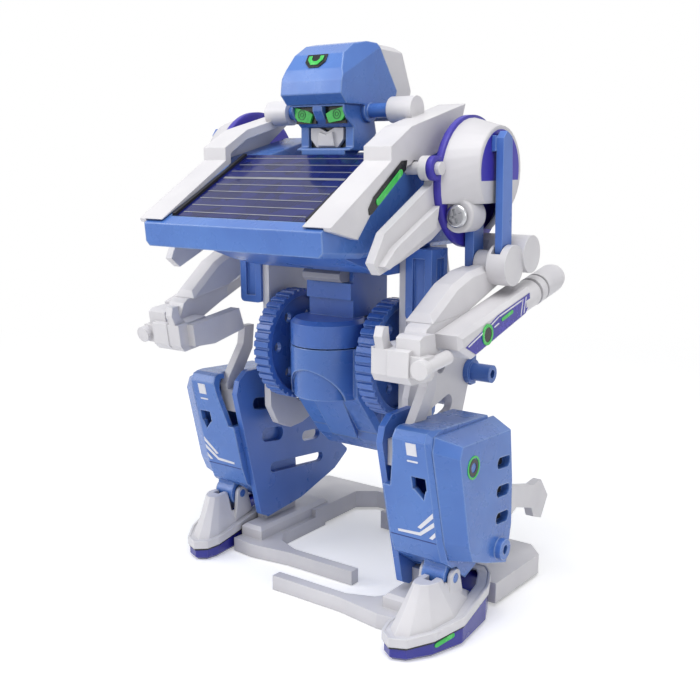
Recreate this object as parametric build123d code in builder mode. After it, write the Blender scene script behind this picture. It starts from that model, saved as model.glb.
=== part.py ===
"""Solar robot kit in its walking-robot form: a geared crank walks two clawed legs under a
solar-panel chest, with a tilting head and two swinging arms. Millimetres, the robot faces -Y,
its left is +X, +Z is up, and the floor is z = 0."""

import os
from math import atan2, cos, degrees, pi, radians, sin, sqrt

from build123d import *

# ---------------------------------------------------------------- driving sizes
AXLE_Y = -4.2  # crank axle, fore and aft in the part's own frame
AXLE_Z = 79.6  # crank axle above the floor
CRANK_R = 9.0  # throw of each crank pin, so a step is twice this
RUN = 0.05  # radial clearance of a running fit
GAP = 0.4  # side clearance between pieces that move past each other
WALL = 2.0  # moulded wall
SEAT = 0.02  # face-to-face seat between two mouldings

# crank train, from the gearbox outwards
HULL_HALF = 15.5  # half width of the gearbox
AXLE_R = 2.0
DISC_IN = 18.0  # inner face of each hip disc
DISC_THICK = 6.0
DISC_R = 19.2
DISC_RIM = 2.4  # wall of the disc's rim
RIDGE_DEPTH = 0.8
RIM_RIDGES = 40
PLATE_IN = 26.8  # inner face of each white side plate
PLATE_THICK = 2.8
CRANK_ARM_THICK = 2.4
PIN_R = 2.2
HANGER_THICK = 2.2
HANGER_HUB_R = 4.4
INNER_THICK = 2.2  # blue inner plate of a leg

PLATE_OUT = PLATE_IN + PLATE_THICK
CRANK_ARM_IN = PLATE_OUT + GAP + 0.3
CRANK_ARM_OUT = CRANK_ARM_IN + CRANK_ARM_THICK
HANGER_IN = CRANK_ARM_OUT + GAP + 0.6
HANGER_OUT = HANGER_IN + HANGER_THICK
INNER_IN = HANGER_OUT + SEAT
INNER_OUT = INNER_IN + INNER_THICK

# gears: two equal stages, module and teeth
MODULE = 0.7
WHEEL_TEETH = 27
PINION_TEETH = 9
GEAR_WIDTH = 3.0
TRAIN_DIP = 28.0  # the gear centres fall away aft at this angle, degrees

# gearbox and waist
BARREL_Y = -8.7
BARREL_R = 12.7
BARREL_SEAM_Z = 83.0
BARREL_TOP_Z = 92.0
HULL_TOP_Z = 92.0
NECK_HALF = 9.0
NECK_FRONT_Y = -7.6
NECK_BACK_Y = 12.0
MOTOR_R = 6.2

# chest
CHEST_FLOOR_Z = 108.0
CHEST_SPLIT_Z = 116.0
TRAY_HALF = 34.0
LIP_Y = -56.6
LIP_TOP_Z = 124.0
TRAY_BACK_Y = 17.0
PANEL_MARGIN = 2.0  # gasket strip between the panel and each rail
PANEL_FRONT = (-51.5, 124.6)
PANEL_BACK = (-18.0, 142.8)
PANEL_THICK = 1.6
RAIL_WIDTH = 9.6
RAIL_BAND = 2.6  # how far the rail stands outside the tray

# head
HEAD_HALF = 11.8
HEAD_AXIS = (-2.0, 157.8)
HEAD_BOSS_R = 4.0
HEAD_BOSS_IN = 20.0
TRUNNION_R = 2.2

# arms: the pin that each swings on, and the elbow
SHOULDER = (-15.0, 140.3)
SHOULDER_PIN_R = 1.9
ELBOW = (4.0, 111.5)
ELBOW_PIN_R = 1.8
ARM_IN = 42.3
POD_SEAT = 44.3
POD_OUT = 54.0
RIGHT_ARM_SWING = 8.0  # the right arm stands this much further back, degrees

# legs, given at the middle of the stride
SHIN_WIDTH = 17.86
CALF_THICK = 7.0
ANKLE = (-12.0, 19.5)
ANKLE_R = 4.4
ANKLE_PIN_R = 1.5
EAR_R = 2.8  # shoe ears either side of the ankle barrel
EAR_THICK = 1.3
BARREL_WIDTH = 7.8
BARREL_SET = 1.0  # step from the shin's outer face to the ankle barrel
SOLE_IN = 44.0
PRONG_REACH = 10.0  # each claw prong passes the middle of the robot by this much


RAIL_OUT = TRAY_HALF + RAIL_BAND
RAIL_IN = RAIL_OUT - RAIL_WIDTH
PANEL_HALF = RAIL_IN - PANEL_MARGIN
SHIN_IN = INNER_OUT + SEAT
SHIN_OUT = SHIN_IN + SHIN_WIDTH
COVER_IN = SHIN_OUT + SEAT
CALF_OUT = SHIN_OUT + CALF_THICK
BARREL_OUT = SHIN_OUT - BARREL_SET
BARREL_IN = BARREL_OUT - BARREL_WIDTH
EAR_IN = BARREL_IN - GAP - EAR_THICK


def flank(x=0.0):
    """Upright plane at x: local x runs aft of the crank axle, local y is height."""
    return Plane(origin=(x, AXLE_Y, 0), x_dir=(0, 1, 0), z_dir=(1, 0, 0))


def deck(z=0.0):
    """Level plane at height z: local y runs aft of the crank axle."""
    return Plane(origin=(0, AXLE_Y, z))


def facing(y=0.0):
    """Upright plane that faces forward, y aft of the crank axle: local y is height."""
    return Plane(origin=(0, AXLE_Y + y, 0), x_dir=(1, 0, 0), z_dir=(0, -1, 0))


def prism(points, x_from, x_to, radius=0.0, mode=Mode.ADD):
    """Side outline extruded from x_from to x_to, with its corners rounded."""
    with BuildSketch(flank(x_from)) as outline:
        Polygon(*points, align=None)
        if radius:
            fillet(outline.vertices(), radius)
    extrude(outline.sketch, amount=x_to - x_from, mode=mode)


def rod(centre, radius, x_from, x_to, mode=Mode.ADD):
    """Round bar along X at (aft, height)."""
    with BuildSketch(flank(x_from)) as disc:
        with Locations(centre):
            Circle(radius)
    extrude(disc.sketch, amount=x_to - x_from, mode=mode)


def slab(x_from, x_to, y_from, y_to, z_from, z_to, mode=Mode.ADD):
    """Square block between two corners, y measured aft of the crank axle."""
    with BuildSketch(deck(z_from)) as footprint:
        with Locations(((x_from + x_to) / 2, (y_from + y_to) / 2)):
            Rectangle(abs(x_to - x_from), abs(y_to - y_from))
    extrude(footprint.sketch, amount=z_to - z_from, mode=mode)


def save(piece, name):
    """Label a finished piece and write its file."""
    piece.label = name
    export_step(piece, f"parts/{name}.step")


def save_pair(piece, name):
    """Write a left piece and its mirror image on the right."""
    save(piece, f"{name}_left")
    save(mirror(piece, about=Plane.YZ), f"{name}_right")


def save_legs(piece, name):
    """Write a leg piece on each side, the left leg a throw forward and the right one aft."""
    save(piece.moved(Location((0, -CRANK_R, 0))), f"{name}_left")
    save(mirror(piece, about=Plane.YZ).moved(Location((0, CRANK_R, 0))), f"{name}_right")


def save_arms(piece, name):
    """Write an arm piece on each side, the right arm swung further back about its pin."""
    pin = Axis((0, AXLE_Y + SHOULDER[0], SHOULDER[1]), (1, 0, 0))
    save(piece, f"{name}_left")
    save(mirror(piece, about=Plane.YZ).rotate(pin, RIGHT_ARM_SWING), f"{name}_right")


os.makedirs("parts", exist_ok=True)

# ---------------------------------------------------------------- gear train places
PITCH_WHEEL = MODULE * WHEEL_TEETH / 2
PITCH_PINION = MODULE * PINION_TEETH / 2
STAGE = PITCH_WHEEL + PITCH_PINION
IDLER = (STAGE * cos(radians(TRAIN_DIP)), AXLE_Z - STAGE * sin(radians(TRAIN_DIP)))
MOTOR_AXIS = (IDLER[0] + STAGE * cos(radians(TRAIN_DIP)), IDLER[1] - STAGE * sin(radians(TRAIN_DIP)))
FIRST_X = 2.0  # slow stage, at the drive gear
SECOND_X = FIRST_X + GEAR_WIDTH + 1.2  # fast stage, at the motor


def gear_outline(teeth, centre, tooth_at):
    """Straight-flanked spur gear with one tooth centred on the direction tooth_at, degrees."""
    pitch = MODULE * teeth / 2
    tip = pitch + 0.9 * MODULE
    root = pitch - 1.15 * MODULE
    step = 2 * pi / teeth
    corners = []
    for k in range(teeth):
        middle = radians(tooth_at) + k * step
        for radius, share in ((root, -0.36), (tip, -0.12), (tip, 0.12), (root, 0.36)):
            angle = middle + share * step
            corners.append((centre[0] + radius * cos(angle), centre[1] + radius * sin(angle)))
    Polygon(*corners, align=None)


# drive gear on the crank axle, with its hub
with BuildPart() as drive_gear:
    with BuildSketch(flank(FIRST_X)):
        gear_outline(WHEEL_TEETH, (0, AXLE_Z), -TRAIN_DIP)
    extrude(amount=GEAR_WIDTH)
    rod((0, AXLE_Z), AXLE_R + 1.8, FIRST_X - 3.0, FIRST_X)
    rod((0, AXLE_Z), AXLE_R, FIRST_X - 3.0, FIRST_X + GEAR_WIDTH, mode=Mode.SUBTRACT)
save(drive_gear.part, "drive_gear")

# idler: small gear on the slow stage, wheel on the fast stage, and its stub shaft
with BuildPart() as idler_gear:
    with BuildSketch(flank(FIRST_X - 0.3)):
        gear_outline(PINION_TEETH, IDLER, 180 - TRAIN_DIP + 180 / PINION_TEETH)
    extrude(amount=SECOND_X - FIRST_X + 0.3)
    with BuildSketch(flank(SECOND_X)):
        gear_outline(WHEEL_TEETH, IDLER, -TRAIN_DIP)
    extrude(amount=GEAR_WIDTH)
    rod(IDLER, 1.2, -HULL_HALF + WALL - 0.8, HULL_HALF - WALL + 0.8)
save(idler_gear.part, "idler_gear")

# motor pinion on the motor's shaft
MOTOR_FACE_X = SECOND_X - 1.6
with BuildPart() as motor_pinion:
    with BuildSketch(flank(SECOND_X - 0.3)):
        gear_outline(PINION_TEETH, MOTOR_AXIS, 180 - TRAIN_DIP + 180 / PINION_TEETH)
    extrude(amount=GEAR_WIDTH + 0.6)
    rod(MOTOR_AXIS, 1.0, MOTOR_FACE_X - 4.0, SECOND_X + GEAR_WIDTH + 1.2)
save(motor_pinion.part, "motor_pinion")

# motor can with a flat on two sides, its front bearing and its end cap
MOTOR_BACK_X = -(HULL_HALF - WALL - SEAT)
with BuildPart() as motor:
    rod(MOTOR_AXIS, MOTOR_R, MOTOR_BACK_X + 2.5, MOTOR_FACE_X)
    slab(MOTOR_BACK_X, MOTOR_FACE_X + 1, MOTOR_AXIS[0] - MOTOR_R, MOTOR_AXIS[0] + MOTOR_R,
         MOTOR_AXIS[1] + MOTOR_R * 0.82, MOTOR_AXIS[1] + MOTOR_R + 1, mode=Mode.SUBTRACT)
    slab(MOTOR_BACK_X, MOTOR_FACE_X + 1, MOTOR_AXIS[0] - MOTOR_R, MOTOR_AXIS[0] + MOTOR_R,
         MOTOR_AXIS[1] - MOTOR_R - 1, MOTOR_AXIS[1] - MOTOR_R * 0.82, mode=Mode.SUBTRACT)
    rod(MOTOR_AXIS, MOTOR_R * 0.75, MOTOR_BACK_X, MOTOR_BACK_X + 2.5)
    rod(MOTOR_AXIS, 1.0 + RUN, MOTOR_FACE_X - 4.5, MOTOR_FACE_X, mode=Mode.SUBTRACT)
save(motor.part, "motor")

# ---------------------------------------------------------------- crank
with BuildPart() as crank_axle:
    rod((0, AXLE_Z), AXLE_R, -CRANK_ARM_IN - 1.4, CRANK_ARM_IN + 1.4)
save(crank_axle.part, "crank_axle")

# hip disc: a ridged rim round a thin recessed web, with lightening holes and a hub
rim_points = []
for ridge in range(RIM_RIDGES):
    for share, radius in ((0.0, DISC_R), (0.56, DISC_R), (0.68, DISC_R - RIDGE_DEPTH),
                          (0.88, DISC_R - RIDGE_DEPTH)):
        turn = 2 * pi * (ridge + share) / RIM_RIDGES
        rim_points.append((radius * cos(turn), AXLE_Z + radius * sin(turn)))
with BuildPart() as hip_disc:
    with BuildSketch(flank(DISC_IN)):
        Polygon(*rim_points, align=None)
    extrude(amount=DISC_THICK)
    for face_x, depth in ((DISC_IN, 2.2), (DISC_IN + DISC_THICK, -2.2)):
        with BuildSketch(flank(face_x)):
            with Locations((0, AXLE_Z)):
                Circle(DISC_R - DISC_RIM)
                Circle(AXLE_R + 2.0, mode=Mode.SUBTRACT)
        extrude(amount=depth, mode=Mode.SUBTRACT)
    with BuildSketch(flank(DISC_IN)):
        with Locations((0, AXLE_Z)):
            with PolarLocations(DISC_R * 0.58, 6):
                Circle(1.7)
            Circle(AXLE_R)
    extrude(amount=DISC_THICK, mode=Mode.SUBTRACT)
save_pair(hip_disc.part, "hip_disc")

# crank arm: a round web outside the side plate with the pin that carries the leg
with BuildPart() as crank_arm:
    rod((0, AXLE_Z), AXLE_R + 2.4, CRANK_ARM_IN, CRANK_ARM_OUT)
    rod((-CRANK_R, AXLE_Z), PIN_R + 1.4, CRANK_ARM_IN, CRANK_ARM_OUT)
    prism([(0, AXLE_Z - AXLE_R - 2), (0, AXLE_Z + AXLE_R + 2), (-CRANK_R, AXLE_Z + PIN_R + 1.2),
           (-CRANK_R, AXLE_Z - PIN_R - 1.2)], CRANK_ARM_IN, CRANK_ARM_OUT)
    rod((-CRANK_R, AXLE_Z), PIN_R, CRANK_ARM_OUT, HANGER_OUT - 0.3)
    rod((0, AXLE_Z), AXLE_R, CRANK_ARM_IN, CRANK_ARM_IN + 1.4, mode=Mode.SUBTRACT)
save(crank_arm.part, "crank_arm_left")
with BuildPart() as crank_arm_right:
    add(crank_arm.part.rotate(Axis((0, AXLE_Y, AXLE_Z), (0, 0, 1)), 180))
save(crank_arm_right.part, "crank_arm_right")

# ---------------------------------------------------------------- gearbox
HULL = [(-12.0, 90.0), (-12.0, 67.0), (3.0, 48.0), (9.5, 42.5), (26.0, 42.5), (36.0, 52.0),
        (37.5, 72.0), (31.0, 88.0), (26.0, HULL_TOP_Z - 0.5), (-4.0, HULL_TOP_Z - 0.5)]
HOLLOW = [(-10.6, 90.2), (-10.6, 68.6), (4.4, 50.6), (10.5, 44.7), (25.0, 44.7), (33.8, 53.0),
          (35.3, 71.5), (29.3, 86.5), (25.0, 90.2)]
HULL_ROUND = 3.0
BARREL_FOOT_Z = 66.0
ARCH_STEP = 1.0  # the arch over the belly strap is this shallow
BORE_BOSS = 1.5


def gearbox_half(side_of_axle):
    """One half of the gearbox: -1 is the front with the barrel, 1 the rear."""
    with BuildPart() as half:
        prism(HULL, -HULL_HALF, HULL_HALF, HULL_ROUND)
        chamfer(half.faces().filter_by(Axis.X).edges(), 1.8)
        if side_of_axle < 0:
            with BuildSketch(deck(BARREL_FOOT_Z)):
                with Locations((0, BARREL_Y)):
                    Circle(BARREL_R)
            extrude(amount=BARREL_SEAM_Z - BARREL_FOOT_Z)
            slab(-HULL_HALF - 1, HULL_HALF + 1, -14, -4, BARREL_SEAM_Z, 100, mode=Mode.SUBTRACT)
            with BuildSketch(facing(BARREL_Y - BARREL_R - 1)):
                with Locations((0, BARREL_FOOT_Z - 1)):
                    Circle(11.0)
            extrude(amount=-10.0, mode=Mode.SUBTRACT)
            with BuildSketch(deck(BARREL_FOOT_Z)):
                with Locations((0, BARREL_Y)):
                    Circle(BARREL_R - ARCH_STEP)
            extrude(amount=BARREL_SEAM_Z - BARREL_FOOT_Z)
            with BuildSketch(deck(75.0)):
                with Locations((0, -10.0)):
                    Rectangle(14.6, 14.0)
            with BuildSketch(deck(44.5)):
                with Locations((0, 9.8)):
                    Rectangle(10.4, 14.0)
            loft()
            with BuildSketch(deck(70.0)):
                with Locations((0, BARREL_Y)):
                    Circle(BARREL_R - WALL)
            extrude(amount=BARREL_SEAM_Z - 70.0, mode=Mode.SUBTRACT)
        prism(HOLLOW, -HULL_HALF + WALL, HULL_HALF - WALL, HULL_ROUND / 2, mode=Mode.SUBTRACT)
        for side in (-1, 1):
            rod((0, AXLE_Z), AXLE_R + 2.0, side * (HULL_HALF - WALL - BORE_BOSS),
                side * (HULL_HALF + BORE_BOSS))
        rod((0, AXLE_Z), AXLE_R + RUN, -HULL_HALF - 2, HULL_HALF + 2, mode=Mode.SUBTRACT)
        if side_of_axle > 0:
            rod(IDLER, 3.0, HULL_HALF - WALL - BORE_BOSS, HULL_HALF - WALL)
            rod(IDLER, 3.0, -HULL_HALF + WALL, -HULL_HALF + WALL + BORE_BOSS)
            rod(IDLER, 1.2 + RUN, -HULL_HALF + 0.8, HULL_HALF - 0.8, mode=Mode.SUBTRACT)
        slab(-40, 40, 0, -60 * side_of_axle, 30, 110, mode=Mode.SUBTRACT)
    return half.part


save(gearbox_half(-1), "gearbox_front")
save(gearbox_half(1), "gearbox_rear")

# waist cap: ring on the barrel and the neck that the chest stands on
with BuildPart() as waist_cap:
    with BuildSketch(deck(BARREL_SEAM_Z + 0.4)):
        with Locations((0, BARREL_Y)):
            Circle(BARREL_R)
    extrude(amount=BARREL_TOP_Z - BARREL_SEAM_Z - 0.4)
    chamfer(waist_cap.faces().sort_by(Axis.Z)[-1].edges(), 1.4)
    with BuildSketch(deck(BARREL_SEAM_Z + 0.4)):
        with Locations((0, BARREL_Y)):
            Circle(BARREL_R - WALL)
    extrude(amount=BARREL_TOP_Z - BARREL_SEAM_Z - 0.4 - WALL, mode=Mode.SUBTRACT)
    slab(-HULL_HALF, HULL_HALF, -4.0 - SEAT, 20, 70, HULL_TOP_Z - 0.5 + SEAT, mode=Mode.SUBTRACT)
    slab(-NECK_HALF, NECK_HALF, NECK_FRONT_Y, NECK_BACK_Y, BARREL_TOP_Z, CHEST_FLOOR_Z - SEAT)
    slab(-NECK_HALF, NECK_HALF, NECK_FRONT_Y - 1.4, NECK_FRONT_Y + 1, 98.0, 103.5)
    slab(-NECK_HALF + 3, NECK_HALF - 3, NECK_FRONT_Y + 2.5, NECK_BACK_Y - 2.5, 93.0,
         CHEST_FLOOR_Z, mode=Mode.SUBTRACT)
save(waist_cap.part, "waist_cap")

# sprung latch button under the front of the chest
with BuildPart() as latch_button:
    slab(-7.5, 7.5, NECK_FRONT_Y - 5.5, NECK_FRONT_Y - SEAT, 104.0, CHEST_FLOOR_Z - SEAT)
    chamfer(latch_button.faces().sort_by(Axis.Y)[0].edges().filter_by(Axis.X), 1.2)
save(latch_button.part, "latch_button")

# ---------------------------------------------------------------- side plates and posts
POST_IN = PLATE_OUT + SEAT
POST_WIDTH = 9.4
POST_OUT = PLATE_OUT + POST_WIDTH
POST_BOTTOM_Z = AXLE_Z + CRANK_R + HANGER_HUB_R + 0.8
PLATE_FRONT_Y = -7.6
POST_BACK_Y = 0.8
PEG = (33.0, 70.0)
PEG_R = 3.1
PEG_BORE_R = 1.5
PEG_COLLAR = 2.0
PEG_BORE_DEPTH = 7.0
PEG_END = PLATE_OUT + 9.4

with BuildPart() as side_plate:
    prism([(PLATE_FRONT_Y, CHEST_SPLIT_Z - SEAT), (PLATE_FRONT_Y, 57.0), (-3.5, 50.0),
           (3.0, 47.0), (10.0, 47.5), (28.0, 53.0), (PEG[0], 66.0), (PEG[0], 78.0),
           (22.0, 92.0), (16.0, CHEST_SPLIT_Z - SEAT)],
          PLATE_IN, PLATE_OUT, 1.5)
    with BuildSketch(flank(PLATE_IN)):
        with Locations((16.0, 79.0)):
            SlotOverall(14.0, 6.0, rotation=60)
        with Locations((14.0, 60.0)):
            SlotOverall(16.0, 6.0, rotation=15)
    extrude(amount=PLATE_THICK, mode=Mode.SUBTRACT)
    rod((0, AXLE_Z), AXLE_R + 1.6, PLATE_IN - 1.2, PLATE_IN)
    rod((0, AXLE_Z), AXLE_R + RUN, PLATE_IN - 2, PLATE_OUT + 1, mode=Mode.SUBTRACT)
    for foot in ((29.0, 60.0), (30.0, 74.0)):
        rod(foot, 2.4, HULL_HALF + SEAT, PLATE_IN)
save_pair(side_plate.part, "side_plate")

# shoulder post: fluted blue column on the outside of each plate, closed by a round foot
with BuildPart() as shoulder_post:
    prism([(PLATE_FRONT_Y - 1.0, CHEST_SPLIT_Z - SEAT), (PLATE_FRONT_Y - 1.0, POST_BOTTOM_Z),
           (POST_BACK_Y, POST_BOTTOM_Z), (POST_BACK_Y, CHEST_SPLIT_Z - SEAT)],
          POST_IN, POST_OUT)
    fillet(shoulder_post.faces().sort_by(Axis.Z)[0].edges().filter_by(Axis.Y), 1.6)
    slab(POST_IN + 2.6, POST_OUT - 2.6, PLATE_FRONT_Y - 2, PLATE_FRONT_Y, POST_BOTTOM_Z + 2.5,
         113.0, mode=Mode.SUBTRACT)
    slab(POST_OUT - 1.2, POST_OUT + 1, PLATE_FRONT_Y + 2.0, POST_BACK_Y - 2.0,
         POST_BOTTOM_Z + 2.5, 113.0, mode=Mode.SUBTRACT)
save_pair(shoulder_post.part, "shoulder_post")

# hollow axle peg at the back of each plate, on its own flange
with BuildPart() as axle_peg:
    prism([(PEG[0] + SEAT, PEG[1] + 9), (PEG[0] + SEAT, PEG[1] - 5), (PEG[0] + 3.5, PEG[1] - 5),
           (PEG[0] + 3.5, PEG[1] + 9)], PLATE_IN, PLATE_OUT + 1.0)
    rod(PEG, PEG_R + 1.2, PLATE_OUT + SEAT, PLATE_OUT + PEG_COLLAR)
    rod(PEG, PEG_R, PLATE_OUT + PEG_COLLAR, PEG_END)
    rod(PEG, PEG_BORE_R, PEG_END - PEG_BORE_DEPTH, PEG_END + 1, mode=Mode.SUBTRACT)
save_pair(axle_peg.part, "axle_peg")

# ---------------------------------------------------------------- chest
TRAY_SIDE = [(LIP_Y + 0.6, 117.0), (LIP_Y, LIP_TOP_Z), (-40.0, 133.0), (-27.0, 140.6),
             (-19.0, 143.0), (-4.0, 146.5), (TRAY_BACK_Y - 6, 150.0), (TRAY_BACK_Y, 140.0),
             (TRAY_BACK_Y, CHEST_SPLIT_Z), (-16.0, CHEST_SPLIT_Z), (-38.0, 115.4)]
TRAY_HOLLOW = [(-50.0, 119.0), (-49.0, 123.0), (PANEL_BACK[0], 140.0), (TRAY_BACK_Y - 7, 141.0),
               (TRAY_BACK_Y - WALL, 136.0), (TRAY_BACK_Y - WALL, CHEST_SPLIT_Z - 4),
               (-16.0, CHEST_SPLIT_Z - 4), (-20.0, CHEST_SPLIT_Z + WALL), (-38.0, 117.4)]
WELL_HALF = 20.0
PANEL_SLOPE = atan2(PANEL_BACK[1] - PANEL_FRONT[1], PANEL_BACK[0] - PANEL_FRONT[0])

with BuildPart() as chest_tray:
    prism(TRAY_SIDE, -TRAY_HALF, TRAY_HALF)
    side_faces = chest_tray.faces().filter_by(Axis.X)
    chamfer(side_faces.edges().filter_by(lambda e: e.center().Z < CHEST_SPLIT_Z + 1), 1.4)
    # sunken bed for the panel, open to the top
    prism([(PANEL_FRONT[0] - 1.2, PANEL_FRONT[1] - 0.65), PANEL_BACK, (PANEL_BACK[0], 170.0),
           (-70.0, 170.0), (-70.0, 132.0), (PANEL_FRONT[0] - 1.2, 132.0)],
          -RAIL_IN + 0.5, RAIL_IN - 0.5, mode=Mode.SUBTRACT)
    # well for the neck and chin behind the panel
    slab(-WELL_HALF, WELL_HALF, PANEL_BACK[0] + 1.6, TRAY_BACK_Y - 3, 139.0, 170.0,
         mode=Mode.SUBTRACT)
    prism(TRAY_HOLLOW, -TRAY_HALF + WALL + 0.5, TRAY_HALF - WALL - 0.5, mode=Mode.SUBTRACT)
    slab(-PANEL_HALF + 4, PANEL_HALF - 4, -44.0, -24.0, 112.0, 150.0, mode=Mode.SUBTRACT)
    # bores for the shoulder pins
    rod(SHOULDER, SHOULDER_PIN_R, -TRAY_HALF - 1, TRAY_HALF + 1, mode=Mode.SUBTRACT)
save(chest_tray.part, "chest_tray")

# lower chest: closed pan that meets the neck and the posts
with BuildPart() as chest_base:
    prism([(-38.0, 115.4 - SEAT), (-24.0, 110.5), (-14.0, CHEST_FLOOR_Z), (12.0, CHEST_FLOOR_Z),
           (TRAY_BACK_Y, 112.0), (TRAY_BACK_Y, CHEST_SPLIT_Z - SEAT), (-16.0, CHEST_SPLIT_Z - SEAT)],
          -PLATE_IN + SEAT, PLATE_IN - SEAT)
    prism([(-26.0, 114.0), (-13.4, CHEST_FLOOR_Z + WALL), (11.0, CHEST_FLOOR_Z + WALL),
           (TRAY_BACK_Y - WALL, 113.5), (TRAY_BACK_Y - WALL, 120.0), (-16.0, 120.0)],
          -PLATE_IN + WALL, PLATE_IN - WALL, mode=Mode.SUBTRACT)
save(chest_base.part, "chest_base")

# solar panel: laminated plate lying in its bed
panel_tilt = degrees(PANEL_SLOPE)
panel_length = sqrt((PANEL_BACK[0] - PANEL_FRONT[0]) ** 2 + (PANEL_BACK[1] - PANEL_FRONT[1]) ** 2)
panel_plane = Plane(origin=(0, AXLE_Y + PANEL_FRONT[0], PANEL_FRONT[1] + SEAT), x_dir=(1, 0, 0),
                    z_dir=(0, -sin(PANEL_SLOPE), cos(PANEL_SLOPE)))
with BuildPart() as solar_panel:
    with BuildSketch(panel_plane):
        with Locations((0, panel_length / 2)):
            Rectangle(2 * PANEL_HALF, panel_length - 0.6)
    extrude(amount=PANEL_THICK)
save(solar_panel.part, "solar_panel")

# white shoulder rail: flange over the tray's side and a band down its outside, with a head boss
RAIL_TOP = [(-56.0, 125.2), (-27.5, 142.4), (-27.5, 146.5), (-17.0, 152.2), (14.0, 159.8)]
RAIL_LOW = [(12.0, 154.6), (-2.7, 144.7), (-19.0, 141.0), (-20.4, 139.6), (-37.8, 127.6),
            (-43.7, 121.3)]
TRAY_ROOM = [(LIP_Y - 1, 124.0 + SEAT), (-40.0, 133.0 + SEAT), (-27.0, 140.6 + SEAT),
             (-19.0, 143.0 + SEAT), (-4.0, 146.5 + SEAT), (TRAY_BACK_Y - 6, 150.0 + SEAT),
             (TRAY_BACK_Y + 1, 138.0), (TRAY_BACK_Y, 120.0), (LIP_Y - 1, 120.0)]
with BuildPart() as rail:
    prism(RAIL_TOP + RAIL_LOW + [(-55.5, 124.2)], TRAY_HALF + SEAT, RAIL_OUT)
    prism(RAIL_TOP + [(13.0, 157.0), (-17.0, 149.2), (-25.0, 144.6), (-25.0, 141.5)] +
          [(-55.0, 124.4)], RAIL_IN, TRAY_HALF + SEAT)
    prism(TRAY_ROOM, RAIL_IN - 1, TRAY_HALF + SEAT, mode=Mode.SUBTRACT)
    rod(SHOULDER, SHOULDER_PIN_R + GAP, TRAY_HALF, RAIL_OUT + 1, mode=Mode.SUBTRACT)
    rod(HEAD_AXIS, HEAD_BOSS_R, HEAD_BOSS_IN, RAIL_IN + 2.0)
    rod(HEAD_AXIS, TRUNNION_R + RUN, 0, RAIL_IN - 2.0, mode=Mode.SUBTRACT)
save_pair(rail.part, "rail")

with BuildPart() as shoulder_pins:
    for side in (-1, 1):
        rod(SHOULDER, SHOULDER_PIN_R, side * (TRAY_HALF - WALL - 1.5), side * (POD_SEAT + 1.5))
save(shoulder_pins.part, "shoulder_pins")

# ---------------------------------------------------------------- head
# helmet: faceted shell with a heavy brow, a shallow crest and the two trunnions it nods on
HELMET_SIDE = [(-17.9, 162.4), (-17.4, 166.4), (-16.2, 170.0), (-13.4, 174.6), (-8.0, 177.8),
               (-2.0, 178.9), (2.1, 178.6), (7.4, 171.6), (12.8, 164.6), (10.2, 157.0),
               (2.0, 155.5), (-6.0, 159.5), (-15.0, 159.5)]
with BuildPart() as helmet:
    prism(HELMET_SIDE, -HEAD_HALF, HEAD_HALF)
    for side in (-1, 1):
        run = Vector(0, 19.6, 9.6)
        lean = Vector(side * -2.2, 9.0, 9.4)
        bevel = Plane(origin=(side * HEAD_HALF, AXLE_Y - 17.5, 167.4), x_dir=run,
                      z_dir=run.cross(lean) * side)
        with BuildSketch(bevel):
            Rectangle(90, 60)
        extrude(amount=20, mode=Mode.SUBTRACT)
    prism([(-9.0, 162.0), (-9.0, 172.4), (-6.0, 175.4), (0.0, 176.6), (3.0, 173.6), (8.0, 166.0),
           (7.6, 159.0), (2.0, 158.0), (-4.0, 162.0)], -HEAD_HALF + 5.4, HEAD_HALF - 5.4,
          mode=Mode.SUBTRACT)
    for side in (-1, 1):
        rod(HEAD_AXIS, TRUNNION_R + 1.4, side * 7.5, side * HEAD_HALF)
        rod(HEAD_AXIS, TRUNNION_R, side * 7.5, side * (RAIL_IN - 3.0))
save(helmet.part, "helmet")

# face mask: eye sockets, cheeks, mouth recess and the chin bar
with BuildPart() as face_mask:
    prism([(-14.4, 159.5 - SEAT), (-14.4, 157.6), (-12.8, 155.0), (-9.4, 152.6), (-9.4, 146.6),
           (-11.6, 146.0), (-11.6, 143.4), (-7.6, 143.4), (-1.0, 146.6), (3.0, 151.0),
           (1.8, 155.5 - SEAT), (-6.1, 159.5 - SEAT)], -10.4, 10.4)
    chamfer(face_mask.edges().filter_by(lambda e: abs(e.center().X) < 1 and e.center().Z < 145), 0.8)
    slab(-7.4, 7.4, -20, -8.0, 146.3, 152.7, mode=Mode.SUBTRACT)
    for side in (-1, 1):
        slab(side * 1.8, side * 9.9, -20, -11.8, 153.6, 158.9, mode=Mode.SUBTRACT)
        slab(side * 8.6, side * 12.0, -12.0, 4.0, 140.0, 145.4, mode=Mode.SUBTRACT)
        rod(HEAD_AXIS, TRUNNION_R + 1.4 + SEAT, side * 7.4, side * 12.0, mode=Mode.SUBTRACT)
save(face_mask.part, "face_mask")

# mouth plate with cut lower corners and a raised centre
with BuildPart() as mouth_plate:
    with BuildSketch(facing(-8.0 - SEAT)):
        Polygon((-6.4, 152.5), (-6.4, 149.0), (-4.2, 146.5), (4.2, 146.5), (6.4, 149.0),
                (6.4, 152.5), (3.0, 152.5), (0, 151.2), (-3.0, 152.5), align=None)
    extrude(amount=1.4)
    with BuildSketch(facing(-9.0)):
        Polygon((-2.6, 151.2), (-3.4, 146.9), (3.4, 146.9), (2.6, 151.2), (0, 150.4), align=None)
    extrude(amount=1.2)
save(mouth_plate.part, "mouth_plate")

# both eye lenses, wedge shaped, higher at the outside
with BuildPart() as eye_lenses:
    for side in (-1, 1):
        with BuildSketch(facing(-11.8 - SEAT)):
            Polygon((side * 2.6, 156.6), (side * 3.8, 153.9), (side * 8.6, 154.6),
                    (side * 9.7, 155.8), (side * 9.7, 158.8), (side * 4.6, 157.6), align=None)
        extrude(amount=1.6)
save(eye_lenses.part, "eye_lenses")

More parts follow.
